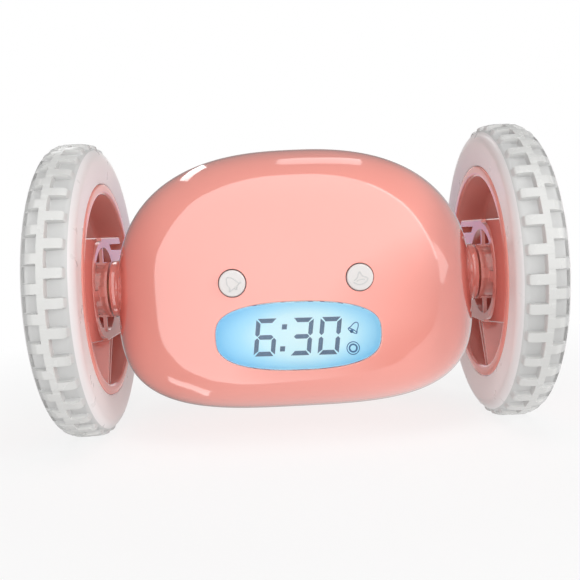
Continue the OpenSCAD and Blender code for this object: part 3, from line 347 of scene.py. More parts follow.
def smooth(o, angle=35):
    """Smooth shading that keeps edges sharper than the angle."""
    o.data.shade_smooth()
    o.data.set_sharp_from_angle(angle=math.radians(angle))
    return o


def placed(o, body, slot, *replaced):
    """Rides o on its body and hides the nodes it stands for. The slot is not used."""
    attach(o, body)
    if replaced:
        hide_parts(*replaced)
    return o


def round_angles(n):
    return np.arange(n) * 2 * math.pi / n


def grid_faces(rows, columns, wrap=True, flip=False):
    """Four-sided faces between rows of points. With wrap, each row is a ring."""
    faces = []
    for i in range(rows - 1):
        for k in range(columns if wrap else columns - 1):
            a, b = i * columns + k, i * columns + (k + 1) % columns
            f = (a, b, b + columns, a + columns)
            faces.append(f[::-1] if flip else f)
    return faces


def fan_faces(rows, n):
    """Closes a grid's first and last rings to two points that come after the grid."""
    last, end = (rows - 1) * n, rows * n
    pairs = [(k, (k + 1) % n) for k in range(n)]
    return [face for k, after in pairs for face in ((end, after, k), (end + 1, last + k, last + after))]


def lathe(profile, turns=96, axis="x", at=(0, 0, 0)):
    """Turns (along, radius) points round an axis. Where the radius is a hair, weld() closes the end."""
    a = round_angles(turns)
    points = []
    for along, r in profile:
        c, s = r * np.cos(a), r * np.sin(a)
        f = np.full(turns, float(along))
        points.append(np.stack([f, c, s] if axis == "x" else [s, f, c], 1))
    points = np.vstack(points) + at
    return points, grid_faces(len(profile), turns)


def loft(outlines):
    """A closed solid through outlines with equal numbers of points."""
    rows, n = len(outlines), len(outlines[0])
    ends = [tuple(range(n))[::-1], tuple(range((rows - 1) * n, rows * n))]
    return np.vstack(outlines), grid_faces(rows, n) + ends


def merged(*parts):
    """Joins several (points, faces) into one."""
    points, faces, n = [], [], 0
    for p, f in parts:
        points.append(np.asarray(p, float))
        faces += [tuple(i + n for i in q) for q in f]
        n += len(p)
    return np.vstack(points), faces


def boolean(o, cutter, operation="DIFFERENCE"):
    """Cuts o with another object, or unites or intersects them, and removes the other."""
    tidy_normals(cutter)
    m = o.modifiers.new("cut", "BOOLEAN")
    m.operation, m.object, m.solver = operation, cutter, "EXACT"
    made = bpy.data.meshes.new_from_object(o.evaluated_get(bpy.context.evaluated_depsgraph_get()))
    o.modifiers.clear()
    o.data = made
    bpy.data.objects.remove(cutter)
    return o


def carve(o, solid, operation="DIFFERENCE"):
    """As boolean, with a solid given as (points, faces)."""
    return boolean(o, new_object("cutter", *solid, o.data.materials[0]), operation)


# ---- The casing's surface ----

# Half sizes from the widest point, which lies DROP below the axles, and how square the outline is
HALF_W, HALF_D, TOP, BOTTOM, DROP, WALL = 51.3, 33.0, 42.4, 31.6, 4.45, 2.0
POWER_TOP, POWER_BOTTOM, POWER_D = 2.5, 3.3, 2.5
SEAM_SINK, SEAM_HALF_W, SEAM_ROUND = 0.3, 0.1, 0.05


def unit_radius(power, angle):
    return (np.abs(np.cos(angle)) ** power + np.abs(np.sin(angle)) ** power) ** (-1 / power)


def egg_shape(rise, inset):
    """The outline's power and half height, over and under the widest point."""
    above = rise >= 0
    return np.where(above, POWER_TOP, POWER_BOTTOM), np.where(above, TOP, BOTTOM) - inset


def egg_depth(x, z, inset=0.0):
    """Depth of the casing's surface from its seam."""
    rise = z + DROP
    power, high = egg_shape(rise, inset)
    s = np.abs(x / (HALF_W - inset)) ** power + np.abs(rise / high) ** power
    return (HALF_D - inset) * np.maximum(0, 1 - s ** (POWER_D / power)) ** (1 / POWER_D)


def egg_ring(lift, inset, sides):
    """A ring of the casing's surface, at an angle from the seam towards the rear's middle."""
    a = round_angles(sides)
    power, high = egg_shape(np.sin(a) + 1e-9, inset)
    r = unit_radius(power, a) * unit_radius(POWER_D, lift) * math.cos(lift)
    y = (HALF_D - inset) * unit_radius(POWER_D, lift) * math.sin(lift)
    return np.stack([(HALF_W - inset) * r * np.cos(a), np.full(sides, y), high * r * np.sin(a) - DROP], 1)


def egg_value(p, inset=0.0):
    """1 on the casing's surface, less inside and more outside."""
    rise = p[:, 2] + DROP
    power, high = egg_shape(rise, inset)
    s = np.abs(p[:, 0] / (HALF_W - inset)) ** power + np.abs(rise / high) ** power
    return s ** (POWER_D / power) + np.abs(p[:, 1] / (HALF_D - inset)) ** POWER_D


def egg_normal(p, inset=0.0):
    rise = p[:, 2] + DROP
    power, c = egg_shape(rise, inset)
    a, b = HALF_W - inset, HALF_D - inset
    u, w, v = np.abs(p[:, 0] / a), np.abs(rise / c), np.abs(p[:, 1] / b)
    s = np.maximum(u ** power + w ** power, 1e-12) ** (POWER_D / power - 1)
    return unit(np.stack([s * u ** (power - 1) / a * np.sign(p[:, 0]),
                          v ** (POWER_D - 1) / b * np.sign(p[:, 1]),
                          s * w ** (power - 1) / c * np.sign(rise)], 1))


LIFTS = np.radians(np.linspace(0, 90, 41))


def half_layer(name, sign, outer, inner, seam=False):
    """One half of the casing between two insets, closed at the seam."""
    sides = 240
    rings = [egg_ring(t, outer, sides) for t in LIFTS[:-1]]
    if seam:
        # A fine groove where the halves meet
        low = egg_ring(0, outer + SEAM_SINK, sides)
        lip = egg_ring(0, outer + SEAM_ROUND, sides) + (0, SEAM_HALF_W + 0.06, 0)
        rings = [low, low + (0, SEAM_HALF_W, 0), lip, egg_ring(0.0105, outer, sides)] + rings[1:]
    back = [egg_ring(t, inner, sides) for t in LIFTS[:-1]]
    points = np.vstack(rings[::-1] + back + [[[0, HALF_D - outer, -DROP]], [[0, HALF_D - inner, -DROP]]])
    rows = len(rings) + len(back)
    if sign < 0:
        points[:, 1] *= -1
    return tidy_normals(new_object(name, points, grid_faces(rows, sides) + fan_faces(rows, sides), casing))


def cutter_through(outline, sign, edge, deep_y=None, shrink=False):
    """A loft along y that follows the casing's surface, so that it leaves an even chamfer.

    The outline is points and outward normals in x and z. It shrinks at the surface to keep what is inside it.
    """
    outside, depth = 4.0, 12.0
    p, n = outline
    e = -edge if shrink else edge

    def ring(grow, y):
        q = p + n * grow
        y = egg_depth(q[:, 0], q[:, 1]) + y if y is not None else np.full(len(q), deep_y)
        return np.stack([q[:, 0], sign * y, q[:, 1]], 1)

    rings = [ring(e, outside), ring(e, 0.002), ring(e * 0.35, -edge * 0.3), ring(0, -edge), ring(0, -depth)]
    if deep_y is not None:
        rings[-1] = ring(0, None)
    return loft(rings)


def outline_normals(p):
    t = np.roll(p, -1, 0) - np.roll(p, 1, 0)
    return unit(np.stack([t[:, 1], -t[:, 0]], 1))


def circle(x, z, r, sides=64):
    a = round_angles(sides)
    n = np.stack([np.cos(a), np.sin(a)], 1)
    return n * r + (x, z), n


def rotation(degrees):
    """For rows of plane points, multiplied from the right. Anticlockwise."""
    c, s = math.cos(math.radians(degrees)), math.sin(math.radians(degrees))
    return np.array([[c, s], [-s, c]])


DISPLAY_TURN = rotation(-1.2)
WINDOW_HALF_W, WINDOW_HALF_H, WINDOW_Z = 21.3, 9.1, -12.3
WINDOW_POWER_W, WINDOW_POWER_H = 2.3, 3


def window(grow=0.0, sides=160):
    """The window's outline: a superellipse, more square at its ends than along its long edges."""
    a = round_angles(sides)
    c, s = np.cos(a), np.sin(a)
    p = np.stack([(WINDOW_HALF_W + grow) * np.sign(c) * np.abs(c) ** (2 / WINDOW_POWER_W),
                  (WINDOW_HALF_H + grow) * np.sign(s) * np.abs(s) ** (2 / WINDOW_POWER_H)], 1)
    # Even spacing along the outline
    q = np.vstack([p, p[:1]])
    run = np.concatenate([[0], np.cumsum(np.linalg.norm(np.diff(q, axis=0), axis=1))])
    at = np.linspace(0, run[-1], sides, endpoint=False)
    p = np.stack([np.interp(at, run, q[:, 0]), np.interp(at, run, q[:, 1])], 1) @ DISPLAY_TURN + (0, WINDOW_Z)
    return p, outline_normals(p)


DOOR_HALF_W, DOOR_TOP, DOOR_LOW, DOOR_CORNER = 27.0, 0.9, -25.6, 5.0


def door_outline(grow=0.0):
    """The battery door's outline, with round corners."""
    w, r, top, low = DOOR_HALF_W + grow, DOOR_CORNER + grow, DOOR_TOP + grow, DOOR_LOW - grow
    middles = ((w - r, top - r), (r - w, top - r), (r - w, low + r), (w - r, low + r))
    points = []
    for corner, (cx, cz) in enumerate(middles):
        for a in np.radians(90 * corner + np.linspace(0, 90, 9)):
            points.append((cx + r * math.cos(a), cz + r * math.sin(a)))
    # Long straight runs are divided so that the cut follows the surface
    out = []
    for a, b in zip(points, points[1:] + points[:1]):
        n = max(1, int(math.dist(a, b) / 1.2))
        out += [(a[0] + (b[0] - a[0]) * i / n, a[1] + (b[1] - a[1]) * i / n) for i in range(n)]
    p = np.array(out)
    return p, outline_normals(p)


def read_out(collection, field, width=1, kind=float):
    """A field of a mesh's points, loops or faces, as an array."""
    values = np.empty(len(collection) * width, kind)
    collection.foreach_get(field, values)
    return values.reshape(-1, width) if width > 1 else values


def surface_shading(o, inset=0.0):
    """Gives the casing's true normals to what lies on its surface, and soft ones to the rest."""
    near, keep_angle = 4e-4, 50
    me = o.data
    me.shade_smooth()
    co = read_out(me.vertices, "co", 3) * 1000 - (0, 0, AXLE_Z)
    on = np.abs(egg_value(co, inset) - 1) < near
    true = egg_normal(co, inset)
    fn = read_out(me.polygons, "normal", 3)
    area = read_out(me.polygons, "area")
    loop_vertex = read_out(me.loops, "vertex_index", 1, int)
    loop_face = np.repeat(np.arange(len(me.polygons)), read_out(me.polygons, "loop_total", 1, int))
    facing = np.einsum("ij,ij->i", fn[loop_face], true[loop_vertex]) > 0.5
    use_true = on[loop_vertex] & facing
    normals = fn[loop_face].copy()
    order = np.argsort(loop_vertex, kind="stable")
    limit = math.cos(math.radians(keep_angle))
    starts = np.searchsorted(loop_vertex[order], np.arange(len(me.vertices) + 1))
    for v in range(len(me.vertices)):
        loops = order[starts[v]:starts[v + 1]]
        rest = loops[~use_true[loops]]
        if len(rest) < 2:
            continue
        f = loop_face[rest]
        alike = fn[f] @ fn[f].T > limit
        normals[rest] = unit(alike @ (fn[f] * area[f][:, None]))
    normals[use_true] = true[loop_vertex[use_true]]
    me.normals_split_custom_set([tuple(n) for n in normals])
    return o


# Places are x and z, as seen from the front
BUTTONS, BUTTON_HOLE_R = ((-16.2, 2.1), (16.2, 2.1)), 3.6
KEYS, KEY_HOLE_R = [(x, 5.7) for x in (-18.0, -6.0, 6.0, 18.0)], 2.8
SCREWS, SCREW_HOLE_R, SCREW_SEAT_Y = ((34, 22), (-34, 22), (41.5, -14), (-41.5, -14)), 2.65, 5.0
SPEAKER_Z, SPEAKER_HOLE_R, GRILLE_R = 21.0, 10.2, 10.05
DOOR_SCREW_Z, DOOR_SEAT_Y, DOOR_GAP = -1.9, 28.0, 0.15
SOFT_EDGE = 0.2

front = half_layer("front_casing", -1, 0, WALL, seam=True)
cuts = [cutter_through(window(), -1, 0.3)]
cuts += [cutter_through(circle(x, z, BUTTON_HOLE_R), -1, 0.15) for x, z in BUTTONS]
surface_shading(carve(front, merged(*cuts)))

rear = half_layer("rear_casing", 1, 0, WALL, seam=True)
cuts = [cutter_through(circle(x, z, SCREW_HOLE_R, 40), 1, SOFT_EDGE, deep_y=SCREW_SEAT_Y) for x, z in SCREWS]
cuts += [cutter_through(circle(x, z, KEY_HOLE_R, 40), 1, SOFT_EDGE) for x, z in KEYS]
cuts += [cutter_through(circle(0, SPEAKER_Z, SPEAKER_HOLE_R, 96), 1, 0.3)]
cuts += [cutter_through(door_outline(), 1, SOFT_EDGE)]
surface_shading(carve(rear, merged(*cuts)))


BOSS_BORE_R, BOSS_END = 4.12, 53.05
# (along the axle, radius): a soft foot on the casing, the boss with its rounded rim, and the bore's two ends
BOSS = [(46.5, 9.6), (49.3, 9.5), (50.2, 9.1), (50.9, 8.6), (51.6, 8.42), (52.75, 8.4), (52.95, 8.33),
        (BOSS_END, 8.1), (BOSS_END, BOSS_BORE_R), (46.0, BOSS_BORE_R)]


def side_bosses(sign):
    """Half of each round boss between the casing and the wheels."""
    a = np.linspace(0, math.pi, 49) * sign
    for side in (-1, 1):
        rows = [np.stack([np.full(len(a), side * x), r * np.sin(a), r * np.cos(a)], 1) for x, r in BOSS]
        yield np.vstack(rows), grid_faces(len(BOSS), len(a), wrap=False)


for sign, name in ((-1, "front_bosses"), (1, "rear_bosses")):
    boss = smooth(weld(new_object(name, *merged(*side_bosses(sign)), casing)), 50)
    placed(boss, "case", "casing")
placed(front, "case", "casing", "front_shell")
placed(rear, "case", "casing", "rear_shell")

door = half_layer("rear_door", 1, 0, WALL)
carve(door, cutter_through(door_outline(-DOOR_GAP), 1, SOFT_EDGE, shrink=True), "INTERSECT")
carve(door, cutter_through(circle(0, DOOR_SCREW_Z, SCREW_HOLE_R, 48), 1, SOFT_EDGE, deep_y=DOOR_SEAT_Y))
surface_shading(door)
# The screw's seat, as (along, radius): a cup with a hole in its floor
SEAT = [(28.2, 1.45), (28.2, 3.25), (30.6, 3.25), (30.6, SCREW_HOLE_R), (29.45, SCREW_HOLE_R), (29.45, 1.45),
        (28.2, 1.45)]
seat = new_object("door_screw_seat", *lathe(SEAT, 48, "y", (0, 0, DOOR_SCREW_Z)), casing)
placed(door, "battery_cover", "casing", "battery_door")
placed(smooth(weld(seat)), "battery_cover", "casing")

GRILLE_SINK, HOLE_PITCH, HOLE_R, HOLE_MARGIN, HOLE_ROWS = 0.3, 3.0, 0.75, 1.5, 5
grille = half_layer("speaker_holes", 1, GRILLE_SINK, WALL - 0.1)
carve(grille, cutter_through(circle(0, SPEAKER_Z, GRILLE_R, 96), 1, SOFT_EDGE, shrink=True), "INTERSECT")
holes = []
for row in range(-HOLE_ROWS, HOLE_ROWS + 1):
    for i in range(-HOLE_ROWS, HOLE_ROWS + 1):
        x, z = (i + 0.5 * (row % 2)) * HOLE_PITCH, row * HOLE_PITCH * math.sqrt(3) / 2
        if math.hypot(x, z) < GRILLE_R - HOLE_MARGIN:
            holes.append(cutter_through(circle(x, SPEAKER_Z + z, HOLE_R, 20), 1, 0.12))
surface_shading(carve(grille, merged(*holes)), GRILLE_SINK)
placed(grille, "case", "casing", "speaker_grille")

# ---- Display lens ----


LENS_SINK, LENS_GAP, LENS_EDGE, FLANGE_GROW = 0.15, 0.15, 0.3, 1.2
FLANGE_FRONT, FLANGE_BACK = WALL + 0.04, WALL + 0.88


def lens():
    """The clear window: its face follows the casing, and a wider flange seats behind it."""
    outer, n_outer = window(-LENS_GAP)
    wide, _ = window(FLANGE_GROW)
    centre = np.array([0, WINDOW_Z])
    rings, steps = [], 26

    def add(p, inset, extra=0.0):
        rings.append(np.stack([p[:, 0], -(egg_depth(p[:, 0], p[:, 1], inset) - extra), p[:, 1]], 1))

    for i in range(1, steps + 1):
        add(centre + (outer - n_outer * LENS_EDGE - centre) * (i / steps), LENS_SINK)
    add(outer - n_outer * LENS_EDGE * 0.3, LENS_SINK, 0.08)
    add(outer, LENS_SINK, LENS_EDGE)
    add(outer, FLANGE_FRONT)
    add(wide, FLANGE_FRONT)
    add(wide, FLANGE_BACK)
    for i in range(steps, 0, -1):
        add(centre + (wide - centre) * (i / steps) * 0.99, FLANGE_BACK)
    middles = [[0, -egg_depth(0.0, WINDOW_Z, inset), WINDOW_Z] for inset in (LENS_SINK, FLANGE_BACK)]
    faces = grid_faces(len(rings), len(outer)) + fan_faces(len(rings), len(outer))
    return smooth(tidy_normals(new_object("clear_window", np.vstack(rings + [middles]), faces, clear)), 40)


placed(lens(), "case", "lens", "display_lens")

# ---- Buttons and keys ----


HAIR, STEM_R, DOME = 0.0001, 1.3, 0.12


def cap_profile(face, flange_end, flange_t, stem_end, r, flange_r, round_r, dome=DOME):
    """(along, radius) from the middle of the face back to the stem, lengths as distances from the seam."""
    p = [(face, HAIR)]
    p += [(face - dome * (k / 8) ** 2, (r - round_r) * k / 8) for k in range(1, 9)]
    for k in range(1, 8):
        a = math.radians(90 * k / 7)
        p.append((face - dome - round_r * (1 - math.cos(a)), r - round_r + round_r * math.sin(a)))
    back = flange_end - flange_t
    return p + [(flange_end, r), (flange_end, flange_r), (back, flange_r), (back, STEM_R), (stem_end, STEM_R),
                (stem_end, HAIR)]


def tube(points, r, sides=8):
    """A closed tube through points."""
    p = np.asarray(points, float)
    t = unit(np.gradient(p, axis=0))
    b = unit(np.cross(t, (0.0, 1, 0)))
    n = np.cross(b, t)
    a = round_angles(sides)
    return loft([q + r * (np.cos(a)[:, None] * u + np.sin(a)[:, None] * v) for q, u, v in zip(p, n, b)])


def curve(controls, steps=10, closed=False):
    """A smooth curve through control points."""
    c = [np.array(p, float) for p in controls]
    c = [c[-1]] + c + c[:2] if closed else [2 * c[0] - c[1]] + c + [2 * c[-1] - c[-2]]
    out = []
    for before, a, b, after in zip(c, c[1:], c[2:], c[3:]):
        for t in np.arange(steps) / steps:
            out.append(0.5 * (2 * a + (b - before) * t + (2 * before - 5 * a + 4 * b - after) * t * t
                              + (3 * a - before - 3 * b + after) * t ** 3))
    out.append(c[-2])
    return np.array(out)


def raised(shapes, x, z, face, sign, turn=0.0, r=0.1, size=1.0):
    """Raised lines on a cap's domed face, given as lists of points in the face's plane."""
    dome_r, sunk_share = 3.05, 0.35
    parts = []
    for shape in shapes:
        p = shape * size @ rotation(turn)
        d = DOME * ((p[:, 0] ** 2 + p[:, 1] ** 2) / dome_r ** 2)
        q = np.stack([x + p[:, 0], sign * (face - d - r * sunk_share), z + p[:, 1]], 1)
        parts.append(tube(q, r))
    return merged(*parts)


# Marks as lines: a bell with its mouth and clapper, and a snooze sign with two strokes below
BELL = [curve([(-1.5, -0.9), (-1.0, -0.55), (-0.8, 0.5), (-0.25, 1.35), (0.25, 1.35), (0.8, 0.5),
               (1.0, -0.55), (1.5, -0.9)], 8),
        curve([(-1.5, -0.9), (0, -1.0), (1.5, -0.9)], 8), curve([(-0.35, -1.1), (0, -1.5), (0.35, -1.1)], 6)]
SNOOZE = [curve([(-1.5, -0.55), (-0.7, 0.0), (-0.25, 1.0), (0.15, 1.15), (0.6, 0.2), (1.6, -0.35)], 8),
          curve([(-1.7, -0.9), (-0.8, -1.5), (0.3, -1.6), (1.2, -1.2), (1.75, -0.5)], 8),
          curve([(-0.9, -0.75), (0.1, -0.5), (0.95, -0.7)], 6)]
PLAY = 0.2
BUTTON_PROUD, BUTTON_R, BUTTON_FLANGE_R, SWITCH_Y = 0.8, 3.38, 4.45, 24.2
KEY_PROUD, KEY_R, KEY_FLANGE_R, KEY_SWITCH_Y = 0.9, 2.6, 3.3, 27.4


def fit_cap(name, body, cap, mark, at):
    """Places a button or key with its mark. The cap is a profile, and the mark is (points, faces)."""
    x, z = at
    solid = lathe(cap, 80 if name.endswith("button") else 64, "y", (x, 0, z))
    placed(smooth(weld(new_object(name + "_cap", *solid, button_white)), 40), body, "button", name)
    placed(smooth(weld(new_object(name + "_mark", *mark, painted_shade_mark)), 60), body, "button")


face = float(egg_depth(*BUTTONS[1])) + BUTTON_PROUD
button_x, button_z = BUTTONS[1]
flange = float(egg_depth(button_x + BUTTON_FLANGE_R, button_z + BUTTON_FLANGE_R / 2, WALL)) - PLAY
cap = cap_profile(face, flange, 0.8, SWITCH_Y, BUTTON_R, BUTTON_FLANGE_R, 0.45)
cap = [(-along, r) for along, r in cap]
for at, name, body, marks, turn, size in ((BUTTONS[0], "alarm_button", "alarm_push", BELL, 38, 1.3),
                                          (BUTTONS[1], "snooze_button", "snooze_push", SNOOZE, 8, 1.1)):
    fit_cap(name, body, cap, raised(marks, *at, face, -1, turn, 0.15, size), at)


def arc(r, start=0.0, end=360.0, steps=40, at=(0, 0)):
    a = np.radians(np.linspace(start, end, steps))
    return np.stack([r * np.cos(a) + at[0], r * np.sin(a) + at[1]], 1)


KEY_BODIES = {"hour_key": "hour_push", "minute_key": "minute_push", "time_key": "time_push",
              "alarm_key": "alarm_set_push"}
BAR = np.array([(-0.8, 0), (0, 0), (0.8, 0)])
HANDS = [np.array([(0, 0), (0, 0.35), (0, 0.7)]), np.array([(0, 0), (0.25, 0), (0.5, 0)])]
KEY_MARKS = [BAR, BAR[:, ::-1]], [BAR], [curve(arc(1.1, steps=13), 4)] + HANDS, [0.65 * line for line in BELL]
for (x, z), (name, body), marks in zip(KEYS, KEY_BODIES.items(), KEY_MARKS):
    face = float(egg_depth(x, z)) + KEY_PROUD
    flange = float(egg_depth(abs(x) + KEY_FLANGE_R, z + KEY_FLANGE_R, WALL)) - PLAY
    cap = cap_profile(face, flange, 0.7, min(KEY_SWITCH_Y, flange - 0.8), KEY_R, KEY_FLANGE_R, 0.4, 0.08)
    # The marks are read from behind
    marks = [line * (-1, 1) for line in marks]
    fit_cap(name, body, cap, raised(marks, x, z, face + 0.02, 1), (x, z))

# ---- What the display shows ----

DIGIT_H, DIGIT_W, SEGMENT_W, SEGMENT_GAP, LEAN = 10.1, 5.86, 1.42, 0.26, math.tan(math.radians(6.5))
DIGITS_Z, DIGITS_Y, DIGITS_T = -18.25, -24.72, 0.1
SYMBOL_X, BELL_Z, RING_Z = 14.4, 6.95, 1.6


def inset(outline, by):
    """Moves the edges of a convex outline inwards. The outline runs anticlockwise."""
    p = np.array(outline, float)
    e = np.roll(p, -1, 0) - p
    n = unit(np.stack([-e[:, 1], e[:, 0]], 1))
    reach = (n * p).sum(1) + by
    return np.array([np.linalg.solve([n[k - 1], n[k]], [reach[k - 1], reach[k]]) for k in range(len(p))])


def segments(lit_ones):
    """One digit's lit segments: top, upper right, lower right, bottom, lower left, upper left, middle."""
    w, h, t, m, e = DIGIT_W, DIGIT_H, SEGMENT_W, DIGIT_H / 2, 0.22

    def across(shape):
        return [(w - x, z) for x, z in shape[::-1]]

    def below(shape):
        return [(x, h - z) for x, z in shape[::-1]]

    top = [(e, h), (t, h - t), (w - t, h - t), (w - e, h)]
    left = [(0, h - e), (0, m + t / 2), (t / 2, m), (t, m + t / 2), (t, h - t)]
    middle = [(t / 2, m), (t, m - t / 2), (w - t, m - t / 2)]
    middle += [(w - x, h - z) for x, z in middle]
    shapes = [top, across(left), below(across(left)), below(top), below(left), left, middle]
    return [inset(shape, SEGMENT_GAP / 2) for shape, on in zip(shapes, lit_ones) if on]


def on_display(p):
    """Places points in the display's plane, from the foot of the digits."""
    return (p + (0, DIGITS_Z - LCD_Z)) @ DISPLAY_TURN + (0, LCD_Z)


def plate(outline):
    """A thin plate with this outline on the panel's front."""
    p = on_display(np.asarray(outline, float))
    rows = [np.stack([p[:, 0], np.full(len(p), y), p[:, 1]], 1) for y in (DIGITS_Y, DIGITS_Y + DIGITS_T)]
    return loft(rows)


def drawn(line, width):
    """A line of even width on the panel's front."""
    line = on_display(np.asarray(line, float))
    points, faces = tube(np.stack([line[:, 0], np.zeros(len(line)), line[:, 1]], 1), width / 2, 10)
    points[:, 1] = np.clip(points[:, 1], -DIGITS_T / 2, DIGITS_T / 2) + DIGITS_Y + DIGITS_T / 2
    return points, faces


SIX, THREE, NOUGHT = (1, 0, 1, 1, 1, 1, 1), (1, 1, 1, 1, 0, 0, 1), (1, 1, 1, 1, 1, 1, 0)
COLON_X, DOT_HALF, DOT_HEIGHTS = -4.46, 0.66, (0.2, 0.77)
shown = []
for left, digit in ((-12.1, SIX), (-2.6, THREE), (4.8, NOUGHT)):
    shown += [shape + (left, 0) for shape in segments(digit)]
square = np.array([(-1, -1), (1, -1), (1, 1), (-1, 1)]) * DOT_HALF
shown += [square + (COLON_X, share * DIGIT_H - 0.1) for share in DOT_HEIGHTS]
shown = [shape + np.stack([shape[:, 1] * LEAN, 0 * shape[:, 1]], 1) for shape in shown]
digits = new_object("shown_digits", *merged(*(plate(shape) for shape in shown)), ink)
placed(tidy_normals(digits), "case", "segments", "lcd_segments")

LINE_W, BELL_TILT = 0.26, rotation(-30)
bell = curve([(-1.25, -0.75), (-0.95, -0.2), (-0.75, 0.7), (-0.3, 1.45), (0.3, 1.45), (0.75, 0.7),
              (0.95, -0.2), (1.25, -0.75)], 8)
mouth = arc(1.0) * (1.3, 0.34) + (0, -0.95)
clapper = arc(0.24, at=(-0.15, -1.15))
icons = [drawn(line @ BELL_TILT + (SYMBOL_X + 0.4, BELL_Z), width)
         for line, width in ((bell, LINE_W), (mouth, LINE_W), (clapper, 0.5))]
icons += [drawn(arc(r, at=(SYMBOL_X, RING_Z)), width) for r, width in ((1.64, LINE_W), (0.98, 0.46))]
icons = new_object("shown_icons", *merged(*icons), icon_ink)
placed(tidy_normals(icons), "case", "segments")

# ---- Tyres ----

WHEEL_R, LUG_H, LUGS, LUG_W = 42.5, 1.5, 36, 2.8
TREAD_R = WHEEL_R - LUG_H
# Along the axle: the inner and outer walls, the edges of the middle rib, and the free ends of the lugs
X0, X1, RIB0, RIB1 = 54.0, 67.0, 60.45, 62.45
INNER_END, OUTER_END = X0 + 1.75, X1 - 0.95
BEAD_R, SHOULDER_R, BULGE = 31.05, TREAD_R - 3.4, 0.15


def step(v, width):
    """Rises smoothly from 0 to 1 over a width, with its middle at 0."""
    t = np.clip(v / width + 0.5, 0, 1)
    return t * t * (3 - 2 * t)


def tyre_profile():
    """Points (x, r) of the tyre's outside, from the inner bead over the tread to the outer bead."""
    wall_r, lip_r = BEAD_R + 0.2, BEAD_R + 0.1
    inner_w, outer_w, outer_h = 2.6, 1.7, 2.4
    low, face = TREAD_R - outer_h, X1 + BULGE
    quarter = np.linspace(0, math.pi / 2, 16)
    # Bead and hollow inner wall
    p = [(X0 + 1.2, BEAD_R), (X0 + 0.62, BEAD_R), (X0 + 0.48, lip_r)]
    p += [(X0 + 0.45 - 0.45 * step(t - 0.5, 1.2), wall_r + (SHOULDER_R - wall_r) * t)
          for t in np.linspace(0.02, 0.96, 10)]
    # Inner shoulder
    inner_h = TREAD_R - SHOULDER_R
    p += [(X0 + inner_w - inner_w * math.cos(a), SHOULDER_R + inner_h * math.sin(a)) for a in quarter]
    # Tread, with close points at the lugs' ends and the rib's edges
    inside = INNER_END + np.concatenate([np.linspace(-0.1, 1.6, 15), [2.2, 2.9, 3.6]])
    outside = np.concatenate([np.linspace(RIB1 + 0.5, OUTER_END, 9), [OUTER_END + 0.15]])
    rib_edges = [x + d for x in (RIB0, RIB1) for d in (-0.25, -0.12, 0, 0.12, 0.25)]
    across = sorted([*inside, *rib_edges, *outside, (RIB0 + RIB1) / 2])
    p += [(x, TREAD_R) for x in across if x > X0 + inner_w + 0.05]
    # Outer shoulder, wall and bead
    p += [(face - outer_w + outer_w * math.sin(a), low + outer_h * math.cos(a)) for a in quarter]
    p += [(face - 0.6 * step(0.5 - t, 1.2), wall_r + (low - wall_r) * t) for t in np.linspace(0.96, 0.02, 12)]
    return np.array(p + [(X1 - 0.45, lip_r), (X1 - 0.6, BEAD_R), (X1 - 1.4, BEAD_R)])


def tyre(side):
    """A treaded tyre: its profile turned round, with the lugs and the rib as heights on the tread."""
    prof = tyre_profile()
    x, r = prof[:, 0], prof[:, 1]
    pitch = 2 * math.pi / LUGS
    # Angles crowd together at the lugs' edges
    half = LUG_W / 2
    edges = np.append(np.array([-0.28, -0.12, 0, 0.12, 0.28, 0.5, 0.8]) - half, 0)
    fine = np.concatenate([edges, -edges]) / WHEEL_R
    cell = np.sort(np.concatenate([(f + pitch / 2) % pitch - pitch / 2 for f in (fine, fine + pitch / 2)]))
    cell = cell[np.concatenate([[True], np.diff(cell) > 0.0012])]
    ang = (np.arange(LUGS)[:, None] * pitch + cell[None, :]).ravel() + math.pi

    def lugs(offset, end_gap, high, corner=0.75):
        """Heights of a row of lugs, given each point's distance from their free ends."""
        away = half - np.abs((ang - math.pi - offset + pitch / 2) % pitch - pitch / 2) * WHEEL_R
        d = np.clip(end_gap, 0, corner)
        cut = corner - np.sqrt(np.maximum(corner ** 2 - (corner - d) ** 2, 0))
        return high[:, None] * step(away[None] - cut[:, None], 0.26) * step(end_gap - 0.12, 0.3)[:, None]

    # Lugs are lower at their free ends
    tread = r > TREAD_R - 2.0
    d_in, d_out = x - INNER_END, OUTER_END - x
    high_in = np.interp(d_in, [0, 0.4, 1.6, 3], [0.75, 1.0, 1.35, LUG_H]) * (x < RIB1) * tread
    high_out = np.interp(d_out, [0, 0.5, 2.4], [0.25, 0.7, LUG_H]) * (x > RIB0) * tread
    rib = step(np.minimum(x - RIB0, RIB1 - x) + 0.06, 0.3) * tread * (LUG_H - 0.05)
    rise = np.maximum.reduce([lugs(0, d_in, high_in), lugs(pitch / 2, d_out, high_out, 0.35),
                              rib[:, None] + 0 * ang[None]])
    rr = r[:, None] + rise
    points = np.stack([side * (x[:, None] + 0 * rr), rr * np.cos(ang)[None], rr * np.sin(ang)[None]], 2)
    name = "left" if side < 0 else "right"
    faces = grid_faces(len(prof), len(ang), flip=side < 0)
    o = new_object(name + "_tread", points.reshape(-1, 3), faces, groove_rubber)
    o.data.materials.append(lug_rubber)
    o.data.materials.append(wall_rubber)
    # Lugs are polished by the ground, and the walls were never textured; the grooves' rubber is also darker, a
    # painted shade, and the walls' lighter, painted light
    ahead = np.roll(rise, -1, 1)
    lug = (rise[:-1] + rise[1:] + ahead[:-1] + ahead[1:]) / 4 > 0.6 * LUG_H
    wall = (r[:-1] + r[1:]) / 2 < TREAD_R - 0.5
    kind = np.where(wall[:, None], 2, np.where(lug, 1, 0)).ravel()
    o.data.polygons.foreach_set("material_index", kind.astype(np.int32))
    smooth(tidy_normals(o), 50)
    o.visible_glossy = False
    placed(o, name + "_wheel", "tyre", name + "_tyre")


for side in (-1, 1):
    tyre(side)

# ---- Dished rims, drawn for the right side ----

